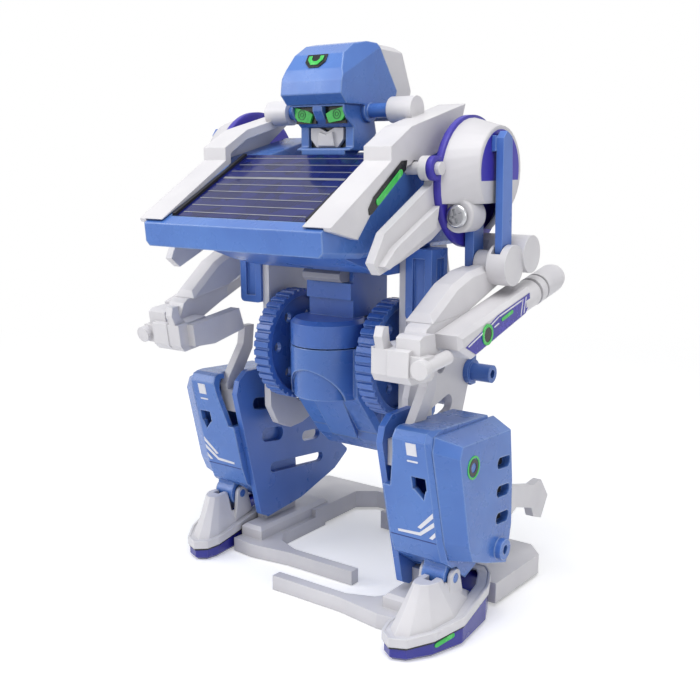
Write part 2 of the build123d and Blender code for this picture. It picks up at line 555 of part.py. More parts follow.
# white rear half of the head
with BuildPart() as head_back:
    prism([(2.1 + SEAT, 178.6), (13.5, 178.2), (16.0, 177.0), (21.7, 165.0), (19.0, 155.6),
           (11.0, 155.0), (10.2 + SEAT, 157.0), (12.8 + SEAT, 164.6), (7.4 + SEAT, 171.6)],
          -HEAD_HALF + 0.4, HEAD_HALF - 0.4)
    chamfer(head_back.edges().filter_by(Axis.Y, tolerance=3).group_by(Axis.Z)[-1], 1.6)
    prism([(6.0, 176.4), (12.9, 176.0), (14.4, 175.4), (19.4, 165.0), (17.4, 157.6),
           (12.8, 157.2), (15.2, 165.2), (9.6, 172.6)], -HEAD_HALF + 5.6, HEAD_HALF - 5.6,
          mode=Mode.SUBTRACT)
save(head_back.part, "head_back")

# ---------------------------------------------------------------- arms
POD_RIM = (6.0, 136.0)
POD_RIM_R = 20.0
POD_CAP = (5.3, 139.5)
POD_CAP_R = 13.2
POD_WALL = 1.6
POD_SIDES = 36  # flats round the pod, too fine to see
STRAP_Y = 3.0
STRAP_HALF = 3.1
STRAP_THICK = 2.4
OUTER_STRAP_IN = 55.2
OUTER_STRAP_OUT = OUTER_STRAP_IN + STRAP_THICK
KEY = (1.7, 147.4)  # square key that ties the outer strap to the pod
KEY_SIDE = 4.6
SCREW_BOSS = (48.0, 126.5)

# shoulder pod: rim disc, tapering shell open at the bottom, screw boss
with BuildPart() as shoulder_pod:
    rod(POD_RIM, POD_RIM_R, ARM_IN, POD_SEAT)
    with BuildSketch(flank(POD_SEAT)) as rim:
        with Locations(POD_RIM):
            RegularPolygon(POD_RIM_R - 0.8, POD_SIDES)
    with BuildSketch(flank(POD_OUT)) as cap:
        with Locations(POD_CAP):
            RegularPolygon(POD_CAP_R, POD_SIDES)
    loft(sections=[rim.sketch, cap.sketch], ruled=True)
    with BuildSketch(flank(POD_SEAT)) as rim_inside:
        with Locations(POD_RIM):
            RegularPolygon(POD_RIM_R - 0.8 - WALL, POD_SIDES)
    with BuildSketch(flank(POD_OUT - POD_WALL)) as cap_inside:
        with Locations(POD_CAP):
            RegularPolygon(POD_CAP_R - POD_WALL, POD_SIDES)
    loft(sections=[rim_inside.sketch, cap_inside.sketch], ruled=True, mode=Mode.SUBTRACT)
    slab(POD_SEAT, POD_OUT + 1, -16.0, 11.0, 112.0, 130.0, mode=Mode.SUBTRACT)
    slab(POD_SEAT, POD_OUT + 1, -16.0, 30.0, 112.0, 121.5, mode=Mode.SUBTRACT)
    with BuildSketch(facing(-9.0)) as screw_boss:
        with Locations(SCREW_BOSS):
            Circle(5.0)
    extrude(screw_boss.sketch, amount=-7.8)
    slab(ARM_IN + 0.5, SCREW_BOSS[0], -9.0, -1.2, SCREW_BOSS[1] - 3.0, SCREW_BOSS[1] + 3.0)
    rod(SHOULDER, SHOULDER_PIN_R + 1.7, ARM_IN, POD_SEAT)
    rod(SHOULDER, SHOULDER_PIN_R + RUN, ARM_IN - 1, POD_SEAT + 2, mode=Mode.SUBTRACT)
    slab(POD_OUT - 3, POD_OUT + 1, KEY[0] - KEY_SIDE / 2 - SEAT, KEY[0] + KEY_SIDE / 2 + SEAT,
         KEY[1] - KEY_SIDE / 2 - SEAT, KEY[1] + KEY_SIDE / 2 + SEAT, mode=Mode.SUBTRACT)
save_arms(shoulder_pod.part, "shoulder_pod")

# spike wing: a swept blade with a bevelled edge, in front of and inside the pod
with BuildPart() as spike_wing:
    prism([(-14.8, 135.6), (-39.1, 123.1), (-44.4, 115.1), (-41.3, 111.7), (-31.2, 114.4),
           (-14.3, 119.6), (-2.0, 126.0), (-2.0, 138.0), (-12.0, 142.5)],
          POST_OUT + 0.5, ARM_IN - SEAT)
    rod(SHOULDER, SHOULDER_PIN_R + 1.7, POST_OUT + 0.5, ARM_IN - SEAT)
    prism([(-13.5, 129.5), (-36.0, 119.0), (-42.0, 114.2), (-39.5, 113.2), (-30.0, 117.0),
           (-15.0, 123.0)], ARM_IN - SEAT, POD_SEAT)
    rod(SHOULDER, SHOULDER_PIN_R + RUN, POST_OUT, ARM_IN + 1, mode=Mode.SUBTRACT)
save_arms(spike_wing.part, "spike_wing")

# upper arm: two blue straps tied by the square key above and the elbow pin below
with BuildPart() as upper_arm:
    for strap_in, strap_out in ((45.0, 48.0), (OUTER_STRAP_IN, OUTER_STRAP_OUT)):
        with BuildSketch(flank(strap_in)):
            Polygon((STRAP_Y - STRAP_HALF, 149.0), (STRAP_Y - 1.0, 151.0),
                    (STRAP_Y + STRAP_HALF - 0.8, 149.4), (STRAP_Y + STRAP_HALF, 138.0),
                    (ELBOW[0] + STRAP_HALF, ELBOW[1]), (ELBOW[0] - STRAP_HALF, ELBOW[1]), align=None)
            with Locations(ELBOW):
                Circle(STRAP_HALF)
        extrude(amount=strap_out - strap_in)
    slab(48.0, OUTER_STRAP_IN, KEY[0] - KEY_SIDE / 2, KEY[0] + KEY_SIDE / 2, KEY[1] - KEY_SIDE / 2,
         KEY[1] + KEY_SIDE / 2)
    rod(ELBOW, ELBOW_PIN_R, 45.5, 57.0)
save_arms(upper_arm.part, "upper_arm")

# forearm: faceted shell, rounded at the elbow, slotted for the straps
FOREARM_IN = 44.8
FOREARM_WIDTH = 9.0
FOREARM_OUT = FOREARM_IN + FOREARM_WIDTH
CHEEK_R = 6.2  # cheek that covers the outer strap's end
STRAP_PLAY = 0.3  # side play of the strap in its slot
CHEEK_WALL = 2.3
CHEEK_OUT = OUTER_STRAP_OUT + STRAP_PLAY + CHEEK_WALL
with BuildPart() as forearm_shell:
    prism([(-32.0, 98.0), (-31.0, 100.5), (-26.0, 103.4), (-19.0, 107.6), (-10.0, 110.4),
           (10.0, 112.4), (16.0, 119.0), (21.5, 115.0), (21.5, 110.0), (17.0, 107.0),
           (-8.0, 99.0)], FOREARM_IN, FOREARM_OUT)
    chamfer(forearm_shell.faces().filter_by(Axis.X).edges().filter_by(
        lambda e: e.center().Z > 99.5 and e.center().Y < AXLE_Y + 8), 1.6)
    rod((14.2, 114.2), 5.8, FOREARM_IN, 61.0)
    rod(ELBOW, CHEEK_R, FOREARM_OUT, CHEEK_OUT)
    rod(ELBOW, STRAP_HALF + 0.6, OUTER_STRAP_IN - GAP, OUTER_STRAP_OUT + STRAP_PLAY,
        mode=Mode.SUBTRACT)
    prism([(ELBOW[0] - 3.7, ELBOW[1]), (ELBOW[0] - 6.6, ELBOW[1] + 8), (ELBOW[0] + 3.7, ELBOW[1] + 8),
           (ELBOW[0] + 3.7, ELBOW[1])], OUTER_STRAP_IN - GAP, OUTER_STRAP_OUT + STRAP_PLAY,
          mode=Mode.SUBTRACT)
    rod(ELBOW, 4.2, 48.4, FOREARM_OUT)
    with BuildSketch(flank(FOREARM_IN - 1)) as strap_slot:
        with Locations(ELBOW):
            Circle(6.6)
    extrude(strap_slot.sketch, amount=48.4 - FOREARM_IN + 1, mode=Mode.SUBTRACT)
    slab(FOREARM_IN - 1, 48.4, ELBOW[0] - 6.6, ELBOW[0] + 6.0, ELBOW[1], 125, mode=Mode.SUBTRACT)
    rod(ELBOW, ELBOW_PIN_R + RUN, FOREARM_IN - 1, FOREARM_OUT + 1, mode=Mode.SUBTRACT)
save_arms(forearm_shell.part, "forearm_shell")

# blaster along the outside of the forearm: body, stepped barrel and ball end
BLASTER_IN = FOREARM_OUT + SEAT
BLASTER_WIDTH = 8.2
BLASTER_OUT = BLASTER_IN + BLASTER_WIDTH
BARREL_TILT = 11.0
with BuildPart() as blaster:
    prism([(-31.0, 95.3), (12.5, 104.4), (13.5, 100.0), (10.0, 95.6), (-22.5, 87.4),
           (-30.0, 91.0)], BLASTER_IN, BLASTER_OUT)
    chamfer(blaster.faces().sort_by(Axis.X)[-1].edges(), 1.2)
    muzzle = Plane(origin=(BLASTER_IN + 4.1, AXLE_Y + 9.0, 99.3), x_dir=(1, 0, 0),
                   z_dir=(0, cos(radians(BARREL_TILT)), sin(radians(BARREL_TILT))))
    with BuildSketch(Plane(origin=muzzle.origin, x_dir=muzzle.z_dir, z_dir=(1, 0, 0))):
        Polygon((0, 0), (0, 4.4), (10.5, 4.4), (10.5, 3.5), (11.7, 3.5), (11.7, 4.6), (15.1, 4.6),
                (15.1, 3.5), (16.3, 3.5), (16.3, 4.6), (27.0, 4.6), (29.0, 4.1), (30.8, 2.7),
                (31.6, 0), align=None)
    revolve(axis=Axis(muzzle.origin, muzzle.z_dir))
save_arms(blaster.part, "blaster")

PALM_IN = 38.6
# hand: wrist, palm, hooked finger, thumb block and the tube it grips
with BuildPart() as hand:
    prism([(-33.0, 97.93), (-12.0, 98.8), (-14.0, 94.0), (-29.0, 89.5), (-32.0, 82.0),
           (-42.5, 82.6), (-44.4, 84.8), (-44.2, 92.0), (-37.0, 93.4), (-35.0, 97.0)],
          46.8, FOREARM_OUT)
    prism([(-44.0, 84.8), (-44.0, 92.0), (-31.0, 92.0), (-31.0, 82.4), (-42.5, 82.6)], 41.4, 47.0)
    prism([(-43.6, 90.6), (-45.0, 95.4), (-44.0, 98.2), (-41.8, 98.0), (-41.2, 94.0),
           (-38.0, 90.6)], 42.8, 45.6)
    prism([(-40.0, 84.0), (-40.0, 91.4), (-17.0, 91.2), (-15.4, 83.4), (-31.0, 82.4)],
          PALM_IN, PALM_IN + 4.0)
    prism([(-42.6, 90.0), (-42.6, 95.4), (-40.8, 96.2), (-35.0, 96.0), (-34.0, 90.0)], 48.6, 56.4)
    rod_path = Plane(origin=(57.8, AXLE_Y - 44.5, 87.8), x_dir=(1, 0, 0), z_dir=(0, 28.0, 2.4))
    with BuildSketch(rod_path):
        Circle(2.0)
    extrude(amount=14.0)
    with BuildSketch(rod_path.offset(-1.0)):
        Circle(2.7)
    extrude(amount=2.4)
    slab(52.0, 58.4, -43.6, -38.6, 84.9, 90.9)
save_arms(hand.part, "hand")

# ---------------------------------------------------------------- legs (middle of the stride)
with BuildPart() as leg_hanger:
    prism([(-4.0, AXLE_Z), (4.0, AXLE_Z), (7.0, 71.0), (7.0, 56.0), (5.0, 54.0), (-5.0, 54.0),
           (-7.0, 56.0), (-7.0, 71.0)], HANGER_IN, HANGER_OUT)
    rod((0, AXLE_Z), HANGER_HUB_R, HANGER_IN, HANGER_OUT)
    rod((0, AXLE_Z), PIN_R + RUN, HANGER_IN - 1, HANGER_OUT + 1, mode=Mode.SUBTRACT)
save_legs(leg_hanger.part, "leg_hanger")

# blue inner plate with its slots
with BuildPart() as inner_plate:
    prism([(-24.4, 61.3), (-23.0, 66.0), (-19.0, 68.9), (-7.9, 68.9), (30.0, 34.8), (42.0, 25.1),
           (32.9, 19.4), (11.3, 13.3), (-8.6, 11.4), (-12.6, 13.5)], INNER_IN, INNER_OUT, 1.0)
    with BuildSketch(flank(INNER_IN)):
        with Locations((-8.0, 55.0)):
            SlotOverall(16.0, 4.4, rotation=-11)
        with Locations((-5.2, 42.6)):
            SlotOverall(12.0, 5.2, rotation=-8)
        with Locations((17.5, 37.0)):
            SlotOverall(11.0, 4.0, rotation=-6)
        with Locations((9.0, 28.2)):
            SlotOverall(32.0, 3.8, rotation=-6)
    extrude(amount=INNER_THICK, mode=Mode.SUBTRACT)
save_legs(inner_plate.part, "inner_plate")

# shin shell: hollow box with a V notch at the top, a square keyhole, and the ankle barrel
with BuildPart() as shin_shell:
    prism([(-27.8, 64.8), (-26.6, 67.4), (-24.6, 68.0), (6.5, 66.0), (8.0, 64.0), (11.0, 22.0),
           (-5.0, 17.0), (-17.5, 26.0), (-20.0, 32.5)], SHIN_IN, SHIN_OUT)
    chamfer(shin_shell.faces().sort_by(Axis.X)[-1].edges().filter_by(
        lambda e: e.center().Y < AXLE_Y - 15), 1.4)
    prism([(-25.0, 63.0), (-24.0, 66.0), (6.1, 64.0), (8.7, 27.0), (-3.0, 21.0),
           (-15.6, 28.0), (-18.0, 33.0)], SHIN_IN + WALL, SHIN_OUT - WALL, mode=Mode.SUBTRACT)
    with BuildSketch(facing(-40.0)) as notch:
        Polygon((SHIN_IN - 1, 72.0), (SHIN_IN + 6.4, 72.0), (SHIN_IN + 5.0, 60.0),
                (SHIN_IN + 2.6, 49.0), (SHIN_IN - 1, 49.0), align=None)
    extrude(notch.sketch, amount=-60, mode=Mode.SUBTRACT)
    with BuildSketch(facing(-40.0)) as keyhole:
        with Locations((51.0, 51.5)):
            Rectangle(4.8, 4.0)
        Polygon((49.0, 49.6), (53.0, 49.6), (52.0, 46.4), align=None)
    extrude(keyhole.sketch, amount=-20, mode=Mode.SUBTRACT)
    slab(43.0 - SEAT, 46.0 + SEAT, -22.0, -11.8, 58.0, 72.0, mode=Mode.SUBTRACT)
    for ear in ((EAR_IN - GAP, BARREL_IN), (BARREL_OUT, BARREL_OUT + EAR_THICK + 2 * GAP)):
        rod(ANKLE, EAR_R + GAP, *ear, mode=Mode.SUBTRACT)
    rod(ANKLE, ANKLE_R, BARREL_IN, BARREL_OUT)
    prism([(-15.5, 20.0), (-9.0, 17.0), (-5.0, 22.0), (-14.0, 28.0)], BARREL_IN, BARREL_OUT)
    rod(ANKLE, ANKLE_PIN_R, EAR_IN, BARREL_OUT + GAP + EAR_THICK)
save_legs(shin_shell.part, "shin_shell")

# calf cover: faceted shield with three vents and the rear knob
with BuildPart() as calf_cover:
    with BuildSketch(flank(COVER_IN)) as cover_root:
        Polygon((-25.0, 66.5), (-26.0, 62.0), (-18.6, 32.5), (-15.4, 26.0), (-6.5, 22.6),
                (10.6, 17.4), (13.2, 30.0), (12.6, 46.0), (10.4, 65.0), align=None)
    with BuildSketch(flank(CALF_OUT)) as cover_top:
        Polygon((-20.5, 63.6), (-22.0, 60.0), (-15.5, 32.0), (-13.0, 26.6), (-5.0, 23.4),
                (8.4, 19.0), (11.2, 31.0), (10.8, 46.0), (8.8, 62.0), align=None)
    loft(sections=[cover_root.sketch, cover_top.sketch])
    for height in (52.6, 43.6, 35.0):
        with BuildSketch(flank(CALF_OUT - 3.0)) as vent:
            with Locations((5.0, height)):
                RectangleRounded(8.4, 3.6, 1.6, rotation=-6)
        extrude(vent.sketch, amount=4, mode=Mode.SUBTRACT)
    rod((3.4, 25.4), 3.3, CALF_OUT - 1.0, CALF_OUT + 2.2)
    rod((3.4, 25.4), 1.5, CALF_OUT - 1.0, CALF_OUT + 3.0, mode=Mode.SUBTRACT)
save_legs(calf_cover.part, "calf_cover")

# white guide arm that steadies the top of the leg
with BuildPart() as guide_arm:
    prism([(-21.5, 61.0), (-22.0, 64.0), (-12.6, 77.0), (-11.4, 83.5), (-6.6, 83.5), (-7.6, 75.0),
           (-13.4, 66.5), (-14.0, 61.0)], 43.0, 46.0)
    slab(SHIN_IN, 46.0, -21.5, -14.0, 54.0, 62.0)
save_legs(guide_arm.part, "guide_arm")

# heel spur: bar behind the calf with a hexagonal end
with BuildPart() as heel_spur:
    prism([(9.95, 41.0), (14.0, 41.0), (17.5, 39.7), (44.0, 32.6), (50.0, 33.0), (56.0, 25.6),
           (51.0, 18.6), (45.0, 20.8), (43.0, 24.6), (31.3, 28.4), (21.0, 24.4), (13.0, 26.0),
           (11.02, 26.0)], 55.0 - 3.0, 58.0 - 3.0)
    slab(48.0, 55.0, 11.05, 14.0, 27.0, 40.0)
save_legs(heel_spur.part, "heel_spur")

# claw fork: two prongs reaching inwards under the robot, spine and heel plate
with BuildPart() as claw_fork:
    with BuildSketch(deck(0.0)):
        Polygon((-PRONG_REACH, -18.8), (18.0, -18.8), (34.0, -21.0), (43.0, -20.0), (43.0, 20.0),
                (31.0, 20.0), (31.0, -6.0), (27.0, -11.5), (18.0, -15.0), (-PRONG_REACH, -15.0),
                align=None)
    extrude(amount=5.0)
    with BuildSketch(deck(1.0)):
        Polygon((31.0, 14.0), (57.0, 14.0), (58.0, 44.0), (52.0, 50.5), (37.0, 50.5),
                (-PRONG_REACH, 50.0), (-PRONG_REACH, 46.2), (24.0, 46.2), (31.0, 41.0), align=None)
    extrude(amount=7.0)
    slab(33.0, 42.6, -16.0, 24.0, 3.0, 9.6)
    chamfer(claw_fork.faces().sort_by(Axis.Z)[-1].edges(), 1.2)
    slab(SHIN_IN, 42.6, -7.0, 10.0, 7.0, 16.4)
save_legs(claw_fork.part, "claw_fork")

# ---------------------------------------------------------------- shoes
SHOE = [(44.2, -20.0), (43.5, -28.0), (44.6, -32.4), (48.2, -34.8), (52.8, -33.0), (57.6, -26.0),
        (61.2, -15.0), (59.8, 2.0), (56.8, 9.0), (54.0, 12.0), (47.0, 12.0), (44.2, 0.0)]
ANKLE_ROOM = ANKLE_R + 0.5
with BuildPart() as shoe_sole:
    with BuildSketch(deck(0.0)):
        Polygon(*SHOE, align=None)
    extrude(amount=13.4)
    prism([(-40.0, 5.4), (-20.0, 7.4), (0.0, 11.0), (14.0, 13.0), (14.0, 20.0), (-40.0, 20.0)],
          40.0, 66.0, mode=Mode.SUBTRACT)
    chamfer(shoe_sole.faces().sort_by(Axis.Z)[0].edges(), 1.2)
    rod(ANKLE, ANKLE_ROOM, BARREL_IN - GAP, BARREL_OUT + GAP, mode=Mode.SUBTRACT)
save_legs(shoe_sole.part, "shoe_sole")

TOE_TOP = [(48.4, -19.6), (48.4, -21.6), (48.8, -23.4), (50.2, -24.6), (52.0, -24.4), (53.8, -23.0),
           (55.2, -20.0), (55.0, -17.4), (54.0, -16.0), (52.4, -15.4), (50.0, -15.4), (48.8, -16.8)]
TOE_TOP_Z = 20.6
with BuildPart() as shoe_upper:
    with BuildSketch(deck(4.0)) as toe_foot:
        Polygon(*SHOE, align=None)
    with BuildSketch(deck(TOE_TOP_Z)) as toe_top:
        Polygon(*TOE_TOP, align=None)
    loft(sections=[toe_foot.sketch, toe_top.sketch], ruled=True)
    slab(50.4, 53.0, -20.0, -15.0, TOE_TOP_Z - 3.4, TOE_TOP_Z + 1, mode=Mode.SUBTRACT)
    prism([(-40.0, 5.4 + SEAT), (-20.0, 7.4 + SEAT), (0.0, 11.0 + SEAT), (14.0, 13.0 + SEAT),
           (14.0, 0.0), (-40.0, 0.0)], 40.0, 66.0, mode=Mode.SUBTRACT)
    slab(BARREL_IN - GAP, BARREL_OUT + GAP, -16.9, 14.0, 8.0, 26.0, mode=Mode.SUBTRACT)
    for ear_in in (EAR_IN, BARREL_OUT + GAP):
        prism([(-16.0, 10.0), (-14.8, 19.5), (-9.2, 19.5), (-7.0, 11.6)], ear_in, ear_in + EAR_THICK)
        rod(ANKLE, EAR_R, ear_in, ear_in + EAR_THICK)
    rod(ANKLE, ANKLE_PIN_R + RUN, 43.0, SHIN_OUT + 4, mode=Mode.SUBTRACT)
save_legs(shoe_upper.part, "shoe_upper")
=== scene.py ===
"""Solar robot kit, built as the walking robot: moulded blue and white ABS with printed vinyl
trim, a solar cell on the chest, and a steel crank axle. Sections follow the assembly."""

from math import atan2, cos, pi, radians, sin

import bmesh
import bpy
from mathutils import Matrix, Vector


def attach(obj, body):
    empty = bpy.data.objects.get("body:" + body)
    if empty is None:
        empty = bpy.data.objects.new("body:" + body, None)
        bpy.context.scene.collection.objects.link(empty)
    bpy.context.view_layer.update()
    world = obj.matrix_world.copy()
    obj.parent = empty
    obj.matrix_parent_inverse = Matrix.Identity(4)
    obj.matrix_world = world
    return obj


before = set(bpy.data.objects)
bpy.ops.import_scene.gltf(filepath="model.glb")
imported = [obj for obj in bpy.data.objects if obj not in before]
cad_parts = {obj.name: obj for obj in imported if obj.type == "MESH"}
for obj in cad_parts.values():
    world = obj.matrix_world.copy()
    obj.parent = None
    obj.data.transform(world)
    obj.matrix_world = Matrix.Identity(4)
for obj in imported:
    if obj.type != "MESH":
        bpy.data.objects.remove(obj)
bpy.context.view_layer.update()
bpy.ops.object.select_all(action="DESELECT")

# ---------------------------------------------------------------- view and light
# A pale sweep of card under a large soft box, with a weaker box on each side, as for a
# catalogue picture. The viewpoint is from the robot's left front, a little above its waist.
camera_data = bpy.data.cameras.new("catalogue_camera")
camera_data.lens = 49.6
camera_data.sensor_width = 36.0
camera_data.clip_start = 0.01
camera = bpy.data.objects.new("catalogue_camera", camera_data)
camera.location = (0.190, -0.2627, 0.1436)
camera.rotation_euler = (radians(90 - 11.34), 0.0, radians(36.0))
bpy.context.scene.collection.objects.link(camera)
bpy.context.scene.camera = camera
bpy.context.scene.view_settings.view_transform = "Standard"

LAMPS_AIM = Vector((0, 0, 0.08))  # m, the middle of the robot
for name, place, size, power in (
    ("soft_box_top", (0.16, -0.34, 0.95), 0.7, 6.75),
    ("soft_box_left", (0.75, -0.35, 0.35), 0.4, 1.0),
    ("soft_box_right", (-0.70, -0.60, 0.50), 0.5, 3.2),
):
    lamp = bpy.data.lights.new(name, "AREA")
    lamp.size = size
    lamp.energy = power
    stand = bpy.data.objects.new(name, lamp)
    stand.location = place
    stand.rotation_euler = (LAMPS_AIM - Vector(place)).to_track_quat("-Z", "Y").to_euler()
    bpy.context.scene.collection.objects.link(stand)


def linear(code):
    """sRGB hex, such as "4a6ec8", to the linear colour that a shader takes."""
    shares = [int(code[i:i + 2], 16) / 255 for i in (0, 2, 4)]
    return tuple(s / 12.92 if s <= 0.04045 else ((s + 0.055) / 1.055) ** 2.4 for s in shares) + (1,)


def add_node(tree, kind, settings=None, links=None, **attributes):
    """One shader node: attributes, socket values by name or number, then its incoming links."""
    node = tree.nodes.new(kind)
    for key, value in attributes.items():
        setattr(node, key, value)
    for key, value in (settings or {}).items():
        node.inputs[key].default_value = value
    for key, source in (links or {}).items():
        tree.links.new(source, node.inputs[key])
    return node


def shown_ray(tree):
    """1 for a ray that meets the eye straight, by a gloss or through a clear part, otherwise 0."""
    path = add_node(tree, "ShaderNodeLightPath")
    indirect = add_node(tree, "ShaderNodeMath", operation="MAXIMUM", links={
        0: path.outputs["Is Glossy Ray"], 1: path.outputs["Is Transmission Ray"]})
    either = add_node(tree, "ShaderNodeMath", operation="MAXIMUM", links={
        0: path.outputs["Is Camera Ray"], 1: indirect.outputs[0]})
    return either.outputs[0]


# The room lights the object at a plain level, and is plain white where it is seen.
world = bpy.data.worlds.new("pale_room")
world.use_nodes = True
tree = world.node_tree
tree.nodes.clear()
room_light = add_node(tree, "ShaderNodeBackground", {"Color": linear("f4f6fb"), "Strength": 0.34})
white_card = add_node(tree, "ShaderNodeBackground", {"Color": (1, 1, 1, 1), "Strength": 1.0})
room = add_node(tree, "ShaderNodeMixShader", links={
    0: shown_ray(tree), 1: room_light.outputs[0], 2: white_card.outputs[0]})
add_node(tree, "ShaderNodeOutputWorld", links={0: room.outputs[0]})
bpy.context.scene.world = world


def blank_material(name):
    """A material with an empty tree but for its output."""
    material = bpy.data.materials.new(name)
    material.use_nodes = True
    material.node_tree.nodes.clear()
    output = material.node_tree.nodes.new("ShaderNodeOutputMaterial")
    return material, material.node_tree, output


# The card takes the soft shadow near the feet and fades to plain white further off.
CARD_WIDTH = 8.0  # m
CARD_DROP = 0.0002  # m below the soles, so that the two faces never share a plane
bpy.ops.mesh.primitive_plane_add(size=CARD_WIDTH, location=(0, 0, -CARD_DROP))
floor = bpy.context.object
floor.name = "card_sweep"
card, tree, output = blank_material("matt_white_card")
place = add_node(tree, "ShaderNodeTexCoord").outputs["Object"]
fibre = add_node(tree, "ShaderNodeTexNoise", {"Scale": 90.0, "Detail": 2.0}, {"Vector": place})
tone = add_node(tree, "ShaderNodeMix", {6: linear("ededee"), 7: linear("f4f4f5")},
                {0: fibre.outputs[0]}, data_type="RGBA")
paper = add_node(tree, "ShaderNodeBsdfPrincipled", {"Roughness": 0.9},
                 {"Base Color": tone.outputs[2]})
distance = add_node(tree, "ShaderNodeVectorMath", links={0: place}, operation="LENGTH")
fade = add_node(tree, "ShaderNodeMapRange", {1: 0.08, 2: 0.55}, {0: distance.outputs["Value"]},
                interpolation_type="SMOOTHSTEP")
lifted = add_node(tree, "ShaderNodeEmission", {"Color": (1, 1, 1, 1), "Strength": 0.34})
near = add_node(tree, "ShaderNodeAddShader", links={0: paper.outputs[0], 1: lifted.outputs[0]})
plain = add_node(tree, "ShaderNodeEmission", {"Color": (1, 1, 1, 1), "Strength": 1.0})
sweep = add_node(tree, "ShaderNodeMixShader", links={
    0: fade.outputs[0], 1: near.outputs[0], 2: plain.outputs[0]})
card_seen = add_node(tree, "ShaderNodeMixShader", links={
    0: shown_ray(tree), 1: paper.outputs[0], 2: sweep.outputs[0]})
tree.links.new(card_seen.outputs[0], output.inputs[0])
floor.data.materials.append(card)

# ---------------------------------------------------------------- blue mouldings
# Blue ABS from spark-eroded moulds: gearbox, chest, head, straps, leg shells. The eye sees a
# satin skin with slow shading from the melt's flow and a fine grain. Its edges are painted
# paler, a painted highlight with a little wear, and its corners get painted shade.


def moulded_abs(name, colour, lighter, darker, roughness=0.34, grain_mm=0.45, edge_mm=0.35):
    """Satin ABS from an eroded steel mould: flow shading in patches of 26 mm, fine grain, handling
    marks of 8 mm in the sheen, edges painted paler (a painted highlight with a little wear), and
    painted shade that darkens the corners."""
    material, tree, output = blank_material(name)
    place = add_node(tree, "ShaderNodeTexCoord").outputs["Object"]
    flow = add_node(tree, "ShaderNodeTexNoise", {"Scale": 38.0, "Detail": 3.0, "Roughness": 0.55},
                    {"Vector": place})
    shade = add_node(tree, "ShaderNodeMix", {6: linear(darker), 7: linear(colour)},
                     {0: add_node(tree, "ShaderNodeMapRange", {1: 0.3, 2: 0.62},
                                  {0: flow.outputs[0]}).outputs[0]}, data_type="RGBA")
    soft_edge = add_node(tree, "ShaderNodeBevel", {"Radius": edge_mm / 1000}, samples=8)
    geometry = add_node(tree, "ShaderNodeNewGeometry")
    agree = add_node(tree, "ShaderNodeVectorMath", links={
        0: soft_edge.outputs[0], 1: geometry.outputs["Normal"]}, operation="DOT_PRODUCT")
    # edges painted paler towards the lighter colour: a painted highlight, with a little wear
    worn_and_highlit_edge = add_node(tree, "ShaderNodeMapRange", {1: 0.995, 2: 0.86, 3: 0.0, 4: 0.55},
                      {0: agree.outputs["Value"]})
    paled = add_node(tree, "ShaderNodeMix", {7: linear(lighter)},
                     {0: worn_and_highlit_edge.outputs[0], 6: shade.outputs[2]}, data_type="RGBA")
    # painted shade: the colour darkens towards a dark tint where ambient occlusion finds a corner
    corner = add_node(tree, "ShaderNodeAmbientOcclusion", {"Distance": 0.004}, samples=8)
    painted_corner_shade = add_node(tree, "ShaderNodeMapRange", {1: 0.25, 2: 0.9, 3: 0.42, 4: 0.0},
                       {0: corner.outputs["AO"]})
    shade_tint = tuple(0.45 * part for part in linear(darker)[:3]) + (1,)
    corner_shaded = add_node(tree, "ShaderNodeMix", {7: shade_tint},
                      {0: painted_corner_shade.outputs[0], 6: paled.outputs[2]}, data_type="RGBA")
    # an eroded mould's grain is finer than 0.1 mm; it is drawn coarser, so that it shows
    grain = add_node(tree, "ShaderNodeTexNoise", {"Scale": 1000 / grain_mm / 2, "Detail": 2.0},
                     {"Vector": place})
    handled = add_node(tree, "ShaderNodeTexNoise", {"Scale": 120.0, "Detail": 4.0},
                       {"Vector": place})
    sheen = add_node(tree, "ShaderNodeMapRange", {1: 0.3, 2: 0.7, 3: roughness - 0.05,
                     4: roughness + 0.08}, {0: handled.outputs[0]})
    bump = add_node(tree, "ShaderNodeBump", {"Strength": 0.10, "Distance": 0.0001},
                    {"Height": grain.outputs[0], "Normal": soft_edge.outputs[0]})
    plastic = add_node(tree, "ShaderNodeBsdfPrincipled", {"IOR": 1.53}, {
        "Base Color": corner_shaded.outputs[2], "Roughness": sheen.outputs[0], "Normal": bump.outputs[0]})
    tree.links.new(plastic.outputs[0], output.inputs[0])
    return material


def pair(name):
    """A name that ends in _ is a left and right pair."""
    return [name + "left", name + "right"] if name.endswith("_") else [name]


def dress(material, *names):
    """Give CAD nodes their finish."""
    for node in (node for name in names for node in pair(name)):
        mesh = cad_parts[node].data
        mesh.materials.clear()
        mesh.materials.append(material)


blue_abs = moulded_abs("satin_blue_abs", "4c76c6", "93b4ec", "4069b8", 0.30)
dress(blue_abs, "waist_cap", "chest_base", "shoulder_post_", "axle_peg_", "hip_disc_",
      "upper_arm_", "inner_plate_")
broad_blue_abs = moulded_abs("broad_radius_blue_abs", "527ec9", "a6c2ee", "466fbc", 0.27,
                             edge_mm=0.8)
dress(broad_blue_abs, "gearbox_front", "gearbox_rear", "chest_tray", "helmet", "face_mask",
      "shin_shell_", "calf_cover_")

# ---------------------------------------------------------------- white mouldings
# Rails, side plates, arms and leg frames in white ABS, from the same kind of mould as the blue
# parts. The skin is a little duller than theirs.
white_abs = moulded_abs("satin_white_abs", "dfdddf", "efeeee", "d2d0d4", 0.36)
dress(white_abs, "rail_", "side_plate_", "head_back", "mouth_plate", "spike_wing_",
      "forearm_shell_", "blaster_", "hand_", "leg_hanger_", "guide_arm_", "heel_spur_",
      "claw_fork_", "shoulder_pins", "crank_arm_")

# ---------------------------------------------------------------- latch and gears
# Grey nylon, moulded duller than the ABS: the chest latch and the gear train behind the hull.
grey_nylon = moulded_abs("grey_nylon", "a4a4ac", "c6c6cc", "8f8f98", 0.48)
dress(grey_nylon, "latch_button", "drive_gear", "idler_gear", "motor_pinion")

# ---------------------------------------------------------------- crank axle and motor can
# Drawn steel rod and a deep-drawn, nickel-plated can: streaks run along the draw.


